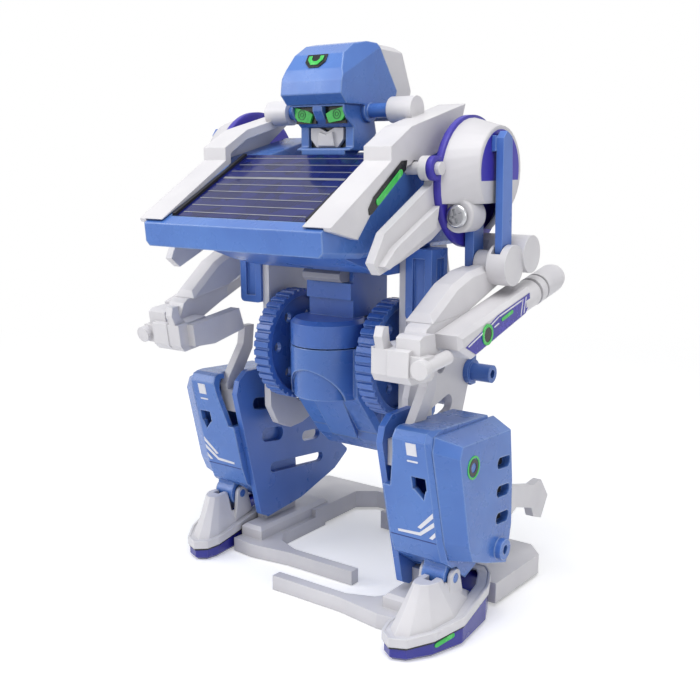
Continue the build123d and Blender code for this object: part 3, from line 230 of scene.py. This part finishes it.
def drawn_metal(name, colour, darker, roughness, streak):
    """Polished metal with streaks about 1 mm wide, and tarnish in patches of 6 mm; streak
    stretches the noise along one axis."""
    material, tree, output = blank_material(name)
    place = add_node(tree, "ShaderNodeTexCoord").outputs["Object"]
    drawn = add_node(tree, "ShaderNodeMapping", {"Scale": streak}, {"Vector": place})
    lines = add_node(tree, "ShaderNodeTexNoise", {"Scale": 900.0, "Detail": 3.0},
                     {"Vector": drawn.outputs[0]})
    tarnish = add_node(tree, "ShaderNodeTexNoise", {"Scale": 160.0, "Detail": 4.0},
                       {"Vector": place})
    shade = add_node(tree, "ShaderNodeMix", {6: linear(darker), 7: linear(colour)},
                     {0: tarnish.outputs[0]}, data_type="RGBA")
    rough = add_node(tree, "ShaderNodeMapRange", {3: roughness - 0.08, 4: roughness + 0.12},
                     {0: lines.outputs[0]})
    bump = add_node(tree, "ShaderNodeBump", {"Strength": 0.15, "Distance": 0.00005},
                    {"Height": lines.outputs[0]})
    metal = add_node(tree, "ShaderNodeBsdfPrincipled", {"Metallic": 1.0}, {
        "Base Color": shade.outputs[2], "Roughness": rough.outputs[0], "Normal": bump.outputs[0]})
    tree.links.new(metal.outputs[0], output.inputs[0])
    return material


steel = drawn_metal("drawn_steel", "c9cacd", "9b9da2", 0.26, (0.05, 1.0, 1.0))
dress(steel, "crank_axle", "motor")

# ---------------------------------------------------------------- solar cell
# Polycrystalline silicon under clear epoxy: navy with faint crystal patches of 4 mm, printed
# silver fingers a millimetre apart, and a glossy coat that holds dust. Silver bus bars stand a
# hair above the plate.
AXLE_Y = -4.2  # mm, as the places and sizes below are; their y is counted aft of this axle
PANEL_FRONT = (-51.5, 124.66)  # y and z of the bed's front edge
PANEL_BACK = (-18.0, 142.86)
PANEL_TOP = 1.6  # the plate's upper face, above its bed
FINGER_PITCH = 1.05
FINGER_SHARE = 0.16  # how much of the pitch is silver
panel_run = Vector((0, PANEL_BACK[0] - PANEL_FRONT[0], PANEL_BACK[1] - PANEL_FRONT[1]))
panel_length = panel_run.length
panel_run.normalize()
panel_normal = Vector((1, 0, 0)).cross(panel_run)
panel_slope = atan2(panel_run.z, panel_run.y)
panel_origin = Vector((0, AXLE_Y + PANEL_FRONT[0], PANEL_FRONT[1]))

cell, tree, output = blank_material("epoxy_coated_silicon_cell")
place = add_node(tree, "ShaderNodeTexCoord").outputs["Object"]
laid = add_node(tree, "ShaderNodeMapping", {"Rotation": (-panel_slope, 0, 0)}, {"Vector": place})
crystal = add_node(tree, "ShaderNodeTexVoronoi", {"Scale": 230.0}, {"Vector": laid.outputs[0]})
patch = add_node(tree, "ShaderNodeSeparateColor", links={0: crystal.outputs["Color"]})
silicon = add_node(tree, "ShaderNodeMix", {6: linear("0b1042"), 7: linear("171f66")},
                   {0: patch.outputs[0]}, data_type="RGBA")
parts = add_node(tree, "ShaderNodeSeparateXYZ", links={0: laid.outputs[0]})
across = add_node(tree, "ShaderNodeMath", {1: 1000 / FINGER_PITCH}, {0: parts.outputs[0]},
                  operation="MULTIPLY")
finger = add_node(tree, "ShaderNodeMath", links={0: across.outputs[0]}, operation="FRACT")
finger_line = add_node(tree, "ShaderNodeMath", {1: FINGER_SHARE}, {0: finger.outputs[0]},
                       operation="LESS_THAN")
tabbed = add_node(tree, "ShaderNodeMix", {7: linear("2e3880")},
                  {0: finger_line.outputs[0], 6: silicon.outputs[2]}, data_type="RGBA")
dust = add_node(tree, "ShaderNodeTexNoise", {"Scale": 70.0, "Detail": 5.0}, {"Vector": place})
smear = add_node(tree, "ShaderNodeMapRange", {1: 0.35, 2: 0.75, 3: 0.06, 4: 0.2},
                 {0: dust.outputs[0]})
resin = add_node(tree, "ShaderNodeBsdfPrincipled",
                 {"IOR": 1.45, "Specular IOR Level": 0.22, "Coat Weight": 0.06,
                  "Coat Roughness": 0.04},
                 {"Base Color": tabbed.outputs[2], "Roughness": smear.outputs[0]})
tree.links.new(resin.outputs[0], output.inputs[0])
dress(cell, "solar_panel")


def lay(name, outline, origin, across, up, thick, ease=0.0):
    """A plate laid on a face: its outline in mm, across and up from origin, raised off the face."""
    across, up, origin = Vector(across), Vector(up), Vector(origin)
    bpy.ops.object.select_all(action="DESELECT")
    bpy.ops.mesh.primitive_circle_add(vertices=len(outline), radius=0.01, fill_type="NGON")
    piece = bpy.context.object
    piece.name = name
    for vertex, (u, v) in zip(piece.data.vertices, outline):
        vertex.co = (origin + u * across + v * up) / 1000
    bpy.ops.object.mode_set(mode="EDIT")
    bpy.ops.mesh.select_all(action="SELECT")
    bpy.ops.mesh.extrude_region_move(
        TRANSFORM_OT_translate={"value": across.cross(up).normalized() * thick / 1000})
    bpy.ops.mesh.select_all(action="SELECT")
    bpy.ops.mesh.normals_make_consistent(inside=False)
    bpy.ops.object.mode_set(mode="OBJECT")
    if ease:
        rim = piece.modifiers.new("eased_rim", "BEVEL")
        rim.width = ease / 1000
        rim.segments = 2
        bpy.ops.object.modifier_apply(modifier=rim.name)
    return piece


def joined(name, pieces):
    """Several laid plates as one object."""
    bpy.ops.object.select_all(action="DESELECT")
    for piece in pieces:
        piece.select_set(True)
    bpy.context.view_layer.objects.active = pieces[0]
    bpy.ops.object.join()
    pieces[0].name = name
    return pieces[0]


def finish(piece, body, material):
    """Hang a finished piece on its body, with its finish."""
    piece.data.materials.clear()
    piece.data.materials.append(material)
    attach(piece, body)


BUS_BARS = 9
BUS_PITCH = 4.1
FIRST_BAR = 2.6  # up from the bed's front edge
BAR_REACH = 23.6  # half the bar's length
FINE_BAR, BROAD_BAR = 0.19, 0.55  # half their widths; one broad bar crosses the middle
BROAD_PLACE = 5  # which bar that is, counted from the front
silver_ink = drawn_metal("fired_silver_ink", "b2b4ba", "8e9098", 0.40, (0.05, 1.0, 1.0))
bars = []
for index in range(BUS_BARS):
    middle = FIRST_BAR + BUS_PITCH * index
    half = BROAD_BAR if index == BROAD_PLACE else FINE_BAR
    bars.append(lay("bus_bar", [(-BAR_REACH, middle - half), (BAR_REACH, middle - half),
                                (BAR_REACH, middle + half), (-BAR_REACH, middle + half)],
                    panel_origin + PANEL_TOP * panel_normal, (1, 0, 0), panel_run, 0.06))
finish(joined("cell_bus_bars", bars), "torso", silver_ink)

# ---------------------------------------------------------------- panel gap shade
# Black strips of painted shade in the gaps between the panel's sides and the rails: matt, with
# open cells at the cut face.


def soft_black(name, colour, paler, roughness, cell_mm):
    """Matt black sheet that stands for painted shade: small cells break its sheen, and dust lies on
    it in patches of 7 mm.
    """
    material, tree, output = blank_material(name)
    place = add_node(tree, "ShaderNodeTexCoord").outputs["Object"]
    cells = add_node(tree, "ShaderNodeTexVoronoi", {"Scale": 1000 / cell_mm}, {"Vector": place})
    dust = add_node(tree, "ShaderNodeTexNoise", {"Scale": 140.0, "Detail": 4.0}, {"Vector": place})
    shade = add_node(tree, "ShaderNodeMix", {6: linear(colour), 7: linear(paler)},
                     {0: dust.outputs[0]}, data_type="RGBA")
    bump = add_node(tree, "ShaderNodeBump", {"Strength": 0.3, "Distance": 0.0001},
                    {"Height": cells.outputs["Distance"]})
    rough = add_node(tree, "ShaderNodeMapRange", {3: roughness - 0.08, 4: roughness + 0.08},
                     {0: dust.outputs[0]})
    shade_sheet = add_node(tree, "ShaderNodeBsdfPrincipled", links={
        "Base Color": shade.outputs[2], "Roughness": rough.outputs[0], "Normal": bump.outputs[0]})
    tree.links.new(shade_sheet.outputs[0], output.inputs[0])
    return material


# painted shade: a black sheet laid in gaps and vents where only shade falls
painted_shade_black = soft_black("painted_shade_black", "0c0c12", "1c1c26", 0.75, 0.5)
STRIP_IN, STRIP_OUT = 25.1, 26.4  # between the plate's side and the rail
STRIP_HEIGHT = 2.3
# painted shade: black strips filling the gap between the panel's sides and the rails
gap_shade_strips = [lay("strip", [(side * STRIP_IN, 0.4), (side * STRIP_OUT, 0.4),
                        (side * STRIP_OUT, panel_length - 0.6),
                        (side * STRIP_IN, panel_length - 0.6)],
              panel_origin, (1, 0, 0), panel_run, STRIP_HEIGHT)
          for side in (-1, 1)]
finish(joined("panel_gap_shade", gap_shade_strips), "torso", painted_shade_black)

# ---------------------------------------------------------------- vinyl trim on the rails
# Black slot with a bright green bar, printed on thick vinyl and stuck along the lower edge of
# each rail. Printed vinyl is glossier than the plastic and shows fine scuffs.


def printed_vinyl(name, colour, paler, roughness=0.22):
    """Printed vinyl film: even ink, orange peel of 1.4 mm, and 4 mm scuffs that dull it."""
    material, tree, output = blank_material(name)
    place = add_node(tree, "ShaderNodeTexCoord").outputs["Object"]
    scuff = add_node(tree, "ShaderNodeTexNoise", {"Scale": 260.0, "Detail": 6.0, "Roughness": 0.7},
                     {"Vector": place})
    worn = add_node(tree, "ShaderNodeMapRange", {1: 0.52, 2: 0.72}, {0: scuff.outputs[0]})
    ink = add_node(tree, "ShaderNodeMix", {6: linear(colour), 7: linear(paler)},
                   {0: worn.outputs[0]}, data_type="RGBA")
    peel = add_node(tree, "ShaderNodeTexNoise", {"Scale": 700.0, "Detail": 1.0}, {"Vector": place})
    bump = add_node(tree, "ShaderNodeBump", {"Strength": 0.08, "Distance": 0.00005},
                    {"Height": peel.outputs[0]})
    rough = add_node(tree, "ShaderNodeMapRange", {3: roughness, 4: roughness + 0.2},
                     {0: worn.outputs[0]})
    film = add_node(tree, "ShaderNodeBsdfPrincipled", {"IOR": 1.48}, {
        "Base Color": ink.outputs[2], "Roughness": rough.outputs[0], "Normal": bump.outputs[0]})
    tree.links.new(film.outputs[0], output.inputs[0])
    return material


black_vinyl = printed_vinyl("black_printed_vinyl", "0b0d12", "1a1d26")
green_vinyl = printed_vinyl("green_printed_vinyl", "3fc455", "6fdc7c")
violet_vinyl = printed_vinyl("violet_printed_vinyl", "3028a0", "453dbb")
white_vinyl = printed_vinyl("white_printed_vinyl", "e9e9ef", "dcdce6")

SHOULDER = (-15.0, 140.3)  # y and z of the shoulder pins
RIGHT_ARM_TURN = 8.0  # degrees that the right arm stands further back than the left one


def twin(piece, name, shift_y=0.0, turn=0.0):
    """The right-hand copy: mirrored in x, moved aft, or turned about the shoulder pin."""
    mesh = piece.data.copy()
    pin = Matrix.Translation(Vector((0, AXLE_Y + SHOULDER[0], SHOULDER[1])) / 1000)
    mesh.transform(pin @ Matrix.Rotation(radians(turn), 4, "X") @ pin.inverted()
                   @ Matrix.Translation((0, shift_y / 1000, 0)) @ Matrix.Scale(-1, 4, (1, 0, 0)))
    shell = bmesh.new()
    shell.from_mesh(mesh)
    bmesh.ops.remove_doubles(shell, verts=shell.verts, dist=0.000001)
    bmesh.ops.recalc_face_normals(shell, faces=shell.faces)
    shell.to_mesh(mesh)
    shell.free()
    copy = bpy.data.objects.new(name, mesh)
    bpy.context.scene.collection.objects.link(copy)
    return copy


def on_both_sides(piece, left_body, slot, material, **place):
    """A left piece and its right-hand copy, each on the body of its own side or both on the
    torso."""
    copy = twin(piece, piece.name.replace("_left", "_right"), **place)
    finish(copy, left_body.replace("left_", "right_"), material)
    finish(piece, left_body, material)


def capsule(start, end, radius, steps=6):
    """Outline of a bar with round ends, from start to end."""
    angle = atan2(end[1] - start[1], end[0] - start[0])
    points = []
    for centre, first in ((end, angle - pi / 2), (start, angle + pi / 2)):
        for step in range(steps + 1):
            turn = first + pi * step / steps
            points.append((centre[0] + radius * cos(turn), centre[1] + radius * sin(turn)))
    return points


RAIL_FACE = 36.6  # x of the rail's outer face
side_view = dict(across=(0, 1, 0), up=(0, 0, 1))
black_slot = lay("rail_slot_left", [(-38.6, 127.7), (-37.4, 127.9), (-20.2, 139.9), (-19.6, 142.6),
                                    (-22.4, 142.4), (-36.6, 132.6), (-39.0, 129.4)],
                 (RAIL_FACE, AXLE_Y, 0), thick=0.35, ease=0.1, **side_view)
green_bar = lay("rail_bar_left", capsule((-34.6, 131.2), (-23.2, 139.1), 0.95),
                (RAIL_FACE + 0.3, AXLE_Y, 0), thick=0.3, ease=0.1, **side_view)
on_both_sides(black_slot, "torso", "white_plastic", black_vinyl)
on_both_sides(green_bar, "torso", "green_lens", green_vinyl)

# ---------------------------------------------------------------- head trim
# Green tinted lenses in black sockets, a black sheet of painted shade behind the mouth plate, and a
# plain badge on the brow. All are stuck or clipped to the helmet and mask and nod with them.


def tinted_lens(name, colour, deeper):
    """Green tinted acrylic: clear gloss skin over a colour that deepens in 3 mm clouds."""
    material, tree, output = blank_material(name)
    place = add_node(tree, "ShaderNodeTexCoord").outputs["Object"]
    swirl = add_node(tree, "ShaderNodeTexNoise", {"Scale": 300.0, "Detail": 2.0}, {"Vector": place})
    shade = add_node(tree, "ShaderNodeMix", {6: linear(colour), 7: linear(deeper)},
                     {0: add_node(tree, "ShaderNodeMapRange", {1: 0.35, 2: 0.75},
                                  {0: swirl.outputs[0]}).outputs[0]}, data_type="RGBA")
    bump = add_node(tree, "ShaderNodeBump", {"Strength": 0.1, "Distance": 0.0001},
                    {"Height": swirl.outputs[0]})
    acrylic = add_node(tree, "ShaderNodeBsdfPrincipled",
                       {"IOR": 1.49, "Roughness": 0.12, "Coat Weight": 0.6, "Coat Roughness": 0.05},
                       {"Base Color": shade.outputs[2], "Normal": bump.outputs[0]})
    tree.links.new(acrylic.outputs[0], output.inputs[0])
    return material


green_acrylic = tinted_lens("green_tinted_acrylic", "43cf57", "2fae48")
dress(green_acrylic, "eye_lenses")
front_view = dict(across=(1, 0, 0), up=(0, 0, 1))
SOCKET_FLOOR = -11.82  # y of the mask's face behind the lenses
sockets = [lay("socket", [(side * 1.9, 153.7), (side * 9.8, 153.7), (side * 9.8, 158.8),
                          (side * 1.9, 158.8)],
               (0, AXLE_Y + SOCKET_FLOOR, 0), thick=0.7, **front_view)
           for side in (-1, 1)]
finish(joined("eye_sockets", sockets), "head", black_vinyl)
MOUTH_FLOOR = -8.005  # y of the mask's face behind the mouth plate
# painted shade: a black sheet filling the recess round the mouth plate, where only shade falls
mouth_shade_sheet = lay("mouth_gap_shade", [(-7.3, 146.4), (7.3, 146.4), (7.3, 152.6), (-7.3, 152.6)],
              (0, AXLE_Y + MOUTH_FLOOR, 0), thick=0.04, **front_view)
finish(mouth_shade_sheet, "head", black_vinyl)


def ring_on(name, centre, outer, inner, thick, across, up):
    """A flat ring, or a disc where inner is 0, raised off a face: inset, opened and extruded."""
    across, up, centre = Vector(across), Vector(up), Vector(centre)
    bpy.ops.object.select_all(action="DESELECT")
    bpy.ops.mesh.primitive_circle_add(vertices=40, radius=outer / 1000, fill_type="NGON")
    piece = bpy.context.object
    piece.name = name
    bpy.ops.object.mode_set(mode="EDIT")
    bpy.ops.mesh.select_all(action="SELECT")
    if inner:
        bpy.ops.mesh.inset(thickness=(outer - inner) / 1000)
        bpy.ops.mesh.delete(type="FACE")
    bpy.ops.mesh.select_all(action="SELECT")
    bpy.ops.mesh.extrude_region_move(TRANSFORM_OT_translate={"value": (0, 0, thick / 1000)})
    bpy.ops.mesh.select_all(action="SELECT")
    bpy.ops.mesh.normals_make_consistent(inside=False)
    bpy.ops.object.mode_set(mode="OBJECT")
    normal = across.cross(up)
    piece.data.transform(Matrix.Translation(centre / 1000)
                         @ Matrix((across, up, normal)).transposed().to_4x4())
    return piece


PUPIL = (6.9, -13.44, 156.5)
pupils = [ring_on("pupil", (side * PUPIL[0], AXLE_Y + PUPIL[1], PUPIL[2]), outer, inner, 0.12,
                  **front_view)
          for side in (-1, 1) for outer, inner in ((1.55, 1.2), (0.75, 0.45))]
deep_green = printed_vinyl("deep_green_print", "1f7a38", "2f9048")
finish(joined("lens_rings", pupils), "head", deep_green)

BROW_FOOT = Vector((0, AXLE_Y - 16.2, 170.0))
BROW_TOP = Vector((0, AXLE_Y - 13.4, 174.6))
brow_run = (BROW_TOP - BROW_FOOT).normalized()
brow_out = Vector((1, 0, 0)).cross(brow_run)
badge = lay("brow_badge", [(-1.9, 0.4), (1.9, 0.4), (3.9, 2.3), (3.9, 5.1), (-3.9, 5.1),
                           (-3.9, 2.3)],
            BROW_FOOT, (1, 0, 0), brow_run, thick=0.35, ease=0.12)
finish(badge, "head", black_vinyl)
badge_bar = lay("brow_bar", [(-1.3, 1.2), (1.3, 1.2), (2.9, 3.0), (2.9, 4.4), (1.5, 4.4),
                             (1.5, 3.3), (0.7, 2.5), (-0.7, 2.5), (-1.5, 3.3), (-1.5, 4.4),
                             (-2.9, 4.4), (-2.9, 3.0)],
                BROW_FOOT + 0.3 * brow_out, (1, 0, 0), brow_run, thick=0.3, ease=0.1)
finish(badge_bar, "head", green_vinyl)

# ---------------------------------------------------------------- shoulder pods
# White ABS domes printed violet on the rim and on the flat cap, with a sharp masked edge where
# the printing pad stopped. Each is held by a plated cross-head screw in its front boss.
POD_RIM_EDGE = 44.36  # x where the rim's print stops
POD_CAP_FACE = 53.93  # x beyond which only the flat cap lies
CAP_CENTRE = (5.3, 139.5)  # y and z
PRINT_RADIUS = 12.1
PRINT_FOOT = 136.6  # the cap is printed above this height


def pad_printed_pod(name):
    """Satin white with the printed areas picked out by place: the rim, and the cap's upper part.
    The dome is built of flats, so its edges are softened over more than half of a flat's width."""
    # painted shade: this white is a darker copy of the white ABS, so that the top lamp's highlight
    # on the dome's flats stays below full white
    material = moulded_abs(name, "d6d4d7", "e3e2e3", "cac8cc", 0.42, edge_mm=1.5)
    tree = material.node_tree
    plastic = next(node for node in tree.nodes if node.type == "BSDF_PRINCIPLED")
    base = plastic.inputs["Base Color"].links[0].from_socket
    place = add_node(tree, "ShaderNodeTexCoord").outputs["Object"]
    parts = add_node(tree, "ShaderNodeSeparateXYZ", links={0: place})
    out = add_node(tree, "ShaderNodeMath", links={0: parts.outputs[0]}, operation="ABSOLUTE")
    rim = add_node(tree, "ShaderNodeMath", {1: POD_RIM_EDGE / 1000}, {0: out.outputs[0]},
                   operation="LESS_THAN")
    cap = add_node(tree, "ShaderNodeMath", {1: POD_CAP_FACE / 1000}, {0: out.outputs[0]},
                   operation="GREATER_THAN")
    from_centre = add_node(tree, "ShaderNodeCombineXYZ", links={
        0: add_node(tree, "ShaderNodeMath", {1: (AXLE_Y + CAP_CENTRE[0]) / 1000},
                    {0: parts.outputs[1]}, operation="SUBTRACT").outputs[0],
        1: add_node(tree, "ShaderNodeMath", {1: CAP_CENTRE[1] / 1000},
                    {0: parts.outputs[2]}, operation="SUBTRACT").outputs[0]})
    reach = add_node(tree, "ShaderNodeVectorMath", links={0: from_centre.outputs[0]},
                     operation="LENGTH")
    inside = add_node(tree, "ShaderNodeMath", {1: PRINT_RADIUS / 1000}, {0: reach.outputs["Value"]},
                      operation="LESS_THAN")
    above = add_node(tree, "ShaderNodeMath", {1: PRINT_FOOT / 1000}, {0: parts.outputs[2]},
                     operation="GREATER_THAN")
    both = add_node(tree, "ShaderNodeMath", links={0: inside.outputs[0], 1: above.outputs[0]},
                    operation="MULTIPLY")
    printed_cap = add_node(tree, "ShaderNodeMath", links={0: both.outputs[0], 1: cap.outputs[0]},
                           operation="MULTIPLY")
    printed = add_node(tree, "ShaderNodeMath", links={0: printed_cap.outputs[0], 1: rim.outputs[0]},
                       operation="MAXIMUM")
    coloured = add_node(tree, "ShaderNodeMix", {7: linear("3a30a8")},
                        {0: printed.outputs[0], 6: base}, data_type="RGBA")
    tree.links.new(coloured.outputs[2], plastic.inputs["Base Color"])
    return material


dress(pad_printed_pod("pad_printed_white_abs"), "shoulder_pod_")

plated = drawn_metal("nickel_plated_screw", "d6d7da", "a3a5aa", 0.2, (1.0, 1.0, 1.0))
SCREW_RADIUS = 3.5
SCREW_SEAT = Vector((48.0, AXLE_Y - 9.0, 126.5))  # the front of the pod's screw boss


def cross_head_screw(name, centre, radius, across, up):
    """Pan head with a domed top and a cross recess cut in by a boolean."""
    across, up, centre = Vector(across), Vector(up), Vector(centre)
    bpy.ops.object.select_all(action="DESELECT")
    height = radius * 0.5 / 1000
    bpy.ops.mesh.primitive_cylinder_add(vertices=32, radius=radius / 1000, depth=height,
                                        location=(0, 0, height / 2))
    head = bpy.context.object
    head.name = name
    bpy.ops.object.transform_apply(location=True)
    rim = head.modifiers.new("domed_rim", "BEVEL")
    rim.width = radius * 0.32 / 1000
    rim.segments = 4
    rim.limit_method = "ANGLE"
    bpy.ops.object.modifier_apply(modifier=rim.name)
    for turn in (0, 90):
        bpy.ops.mesh.primitive_cube_add(size=1, location=(0, 0, height),
                                        rotation=(0, 0, radians(turn + 20)))
        blade = bpy.context.object
        blade.scale = (radius * 1.25 / 1000, radius * 0.26 / 1000, radius * 0.55 / 1000)
        bpy.ops.object.transform_apply(location=True, rotation=True, scale=True)
        cut = head.modifiers.new("recess", "BOOLEAN")
        cut.object = blade
        cut.solver = "EXACT"
        bpy.context.view_layer.objects.active = head
        bpy.ops.object.modifier_apply(modifier=cut.name)
        bpy.data.objects.remove(blade, do_unlink=True)
    head.data.transform(Matrix.Translation(centre / 1000)
                        @ Matrix((across, up, across.cross(up))).transposed().to_4x4())
    bpy.ops.object.select_all(action="DESELECT")
    head.select_set(True)
    bpy.ops.object.shade_smooth_by_angle(angle=radians(30))
    return head


pod_screw = cross_head_screw("pod_screw_left", SCREW_SEAT, SCREW_RADIUS, **front_view)
on_both_sides(pod_screw, "left_arm", "steel", plated, turn=RIGHT_ARM_TURN)

# ---------------------------------------------------------------- blaster trim
# A violet vinyl panel with white pin lines, a green ring round a black button, and a green bar,
# all on the blaster's outer face.
BLASTER_FACE = 62.06  # x of its outer face
FILM = 0.12
FILM_TOP = BLASTER_FACE + 0.1  # a second film starts a hair inside the first, so no gap shows
BUTTON = (-15.6, 93.6)  # y and z
button_seat = (FILM_TOP, AXLE_Y + BUTTON[0], BUTTON[1])
on_film = (FILM_TOP, AXLE_Y, 0)
blaster_panel = lay("blaster_panel_left",
                    [(-28.0, 91.7), (-22.1, 88.9), (8.8, 96.7), (11.8, 99.9), (11.1, 102.6),
                     (-9.0, 98.4), (-14.0, 96.4)],
                    (BLASTER_FACE, AXLE_Y, 0), thick=FILM, **side_view)
ring = ring_on("blaster_ring_left", button_seat, 3.1, 2.2, 0.3, **side_view)
button = ring_on("blaster_button_left", button_seat, 2.2, 0, 0.2, **side_view)
bar = lay("blaster_bar_left", capsule((-6.6, 96.8), (-0.4, 98.3), 0.55), on_film, thick=0.15,
          **side_view)
pin_lines = joined("blaster_lines_left", [
    lay("line", capsule(start, end, 0.22, 3), on_film, thick=0.1, **side_view)
    for start, end in (((-26.4, 91.8), (-13.4, 96.1)), ((-13.4, 96.1), (-8.8, 97.9)),
                       ((-8.8, 97.9), (5.6, 100.9)), ((5.6, 96.4), (6.6, 101.1)),
                       ((7.6, 97.0), (8.7, 101.6)), ((-11.4, 95.2), (-8.8, 95.9)))])
for piece, slot, material in (
    (blaster_panel, "white_plastic", violet_vinyl),
    (ring, "green_lens", green_vinyl),
    (button, "white_plastic", black_vinyl),
    (bar, "green_lens", green_vinyl),
    (pin_lines, "white_plastic", white_vinyl),
):
    on_both_sides(piece, "left_forearm", slot, material, turn=RIGHT_ARM_TURN)

# ---------------------------------------------------------------- shin trim
# White vinyl bars and slanted stripes stuck on the shin's front face, and the fine dark line
# where its two mouldings meet.
LEG_LEAD = 9.0  # the crank's throw: the left leg stands this far forward, the right one as far aft
RIGHT_LEG_SHIFT = 2 * LEG_LEAD
SHIN_HIGH = Vector((0, AXLE_Y - LEG_LEAD - 27.8, 64.8))  # ends of the shin's sloping front
SHIN_LOW = Vector((0, AXLE_Y - LEG_LEAD - 20.0, 32.5))
shin_run = (SHIN_HIGH - SHIN_LOW).normalized()
shin_view = dict(origin=SHIN_LOW, across=(1, 0, 0), up=shin_run)
marks = [lay("mark", outline, thick=FILM, **shin_view) for outline in (
    [(48.2, 28.6), (51.6, 28.6), (51.6, 32.6), (48.2, 32.6)],
    capsule((48.2, 26.7), (51.4, 26.7), 0.28, 3),
    [(48.6, 4.4), (49.7, 4.0), (54.5, 8.8), (54.5, 10.5)],
    [(41.4, 2.1), (41.5, 1.3), (49.4, 1.6), (54.5, 5.8), (54.5, 7.4), (49.0, 2.6)],
    [(52.2, 1.4), (53.4, 1.2), (54.5, 2.4), (54.5, 3.9)])]
shin_marks = joined("shin_marks_left", marks)
on_both_sides(shin_marks, "left_leg", "blue_plastic", white_vinyl, shift_y=RIGHT_LEG_SHIFT)
mould_seam = lay("shin_seam_left", [(38.6, -0.25), (54.5, -0.25), (54.5, 0.05), (38.6, 0.05)],
                 thick=0.05, **shin_view)
dark_blue_line = printed_vinyl("dark_blue_seam", "1c2f74", "26408c", 0.5)
on_both_sides(mould_seam, "left_leg", "blue_plastic", dark_blue_line, shift_y=RIGHT_LEG_SHIFT)

# ---------------------------------------------------------------- calf trim
# Black plates of painted shade on the floor of each of the calf cover's three vents, and a green
# vinyl ring round a black one on its flat face.
CALF_FACE = 63.02  # x of the cover's outer face
VENT_DEPTH = 3.0
VENT_AFT = 5.0
# painted shade: black plates on each vent's floor, where only shade falls
vent_shade_plates = joined("calf_vents_left", [
    lay("vent", [(-3.8365, height - 1.5), (3.7, height - 1.9), (3.7, height + 1.1),
                 (-3.7, height + 1.5)],
        (CALF_FACE - VENT_DEPTH, AXLE_Y - LEG_LEAD + VENT_AFT, 0), thick=0.3, **side_view)
    for height in (52.6, 43.6, 35.0)])
on_both_sides(vent_shade_plates, "left_leg", "blue_plastic", painted_shade_black, shift_y=RIGHT_LEG_SHIFT)
calf_seat = (CALF_FACE - 0.05, AXLE_Y - LEG_LEAD - 14.4, 56.0)
calf_ring = ring_on("calf_ring_left", calf_seat, 3.5, 2.9, 0.25, **side_view)
calf_button = ring_on("calf_button_left", calf_seat, 2.6, 1.5, 0.2, **side_view)
on_both_sides(calf_ring, "left_leg", "green_lens", green_vinyl, shift_y=RIGHT_LEG_SHIFT)
on_both_sides(calf_button, "left_leg", "blue_plastic", black_vinyl, shift_y=RIGHT_LEG_SHIFT)

# ---------------------------------------------------------------- shoes
# White ABS cap over a violet lacquered sole. The cap's lip laps the sole all round, a black band
# runs just beneath it, and the sole carries a green bar on its outer front.
shoe_white = moulded_abs("shoe_cap_white_abs", "dfdddf", "efeeee", "d2d0d4", 0.32, edge_mm=0.6)
dress(shoe_white, "shoe_upper_")
violet_abs = moulded_abs("violet_lacquered_abs", "2e2f9c", "5f5ccc", "26278a", 0.22, edge_mm=0.5)
dress(violet_abs, "shoe_sole_")
SHOE_OUTLINE = [(44.2, -20.0), (43.5, -28.0), (44.6, -32.4), (48.2, -34.8), (52.8, -33.0),
                (57.6, -26.0), (61.2, -15.0), (59.8, 2.0), (56.8, 9.0), (54.0, 12.0),
                (47.0, 12.0), (44.2, 0.0)]
SHOE_SEAM = [(-40.0, 5.4), (-20.0, 7.4), (0.0, 11.0), (14.0, 13.0)]  # y and height


def seam_height(y):
    """Height of the seam between sole and cap, y mm aft of the leg's own line."""
    for (y0, z0), (y1, z1) in zip(SHOE_SEAM, SHOE_SEAM[1:]):
        if y <= y1:
            return z0 + (z1 - z0) * (y - y0) / (y1 - y0)


def seam_band(name, below, height, wall, side=0.6):
    """A strip that follows the seam right round the shoe. Its wall grows outwards for side 1, and
    inwards for -1."""
    bpy.ops.object.select_all(action="DESELECT")
    bpy.ops.mesh.primitive_circle_add(vertices=len(SHOE_OUTLINE), radius=0.01, fill_type="NOTHING")
    strip = bpy.context.object
    strip.name = name
    for vertex, (x, y) in zip(strip.data.vertices, SHOE_OUTLINE):
        vertex.co = Vector((x, AXLE_Y - LEG_LEAD + y, seam_height(y) - below)) / 1000
    bpy.ops.object.mode_set(mode="EDIT")
    bpy.ops.mesh.select_all(action="SELECT")
    bpy.ops.mesh.extrude_region_move(TRANSFORM_OT_translate={"value": (0, 0, height / 1000)})
    bpy.ops.mesh.select_all(action="SELECT")
    bpy.ops.mesh.normals_make_consistent(inside=False)
    bpy.ops.object.mode_set(mode="OBJECT")
    skin = strip.modifiers.new("wall", "SOLIDIFY")
    skin.thickness = wall / 1000
    skin.offset = side
    skin.use_even_offset = True
    bpy.ops.object.modifier_apply(modifier=skin.name)
    return strip


lip = seam_band("shoe_lip_left", 1.4, 2.8, 0.9)
line = seam_band("shoe_line_left", 2.1, 0.75, 0.4)
shelf = seam_band("shoe_shelf_left", -0.6, 0.6, 3.4, -1.0)
SIDE_FOOT = Vector((57.6, AXLE_Y - LEG_LEAD - 26.0, 0))
SIDE_END = Vector((61.2, AXLE_Y - LEG_LEAD - 15.0, 0))
side_run = (SIDE_END - SIDE_FOOT).normalized()
glow_bar = lay("shoe_bar_left", capsule((1.2, 3.7), (7.4, 4.9), 0.75), SIDE_FOOT, side_run,
               (0, 0, 1), thick=0.3, ease=0.08)
for piece, slot, material in (
    (lip, "white_plastic", shoe_white),
    (shelf, "white_plastic", shoe_white),
    (line, "violet_plastic", black_vinyl),
    (glow_bar, "green_lens", green_vinyl),
):
    on_both_sides(piece, "left_shoe", slot, material, shift_y=RIGHT_LEG_SHIFT)
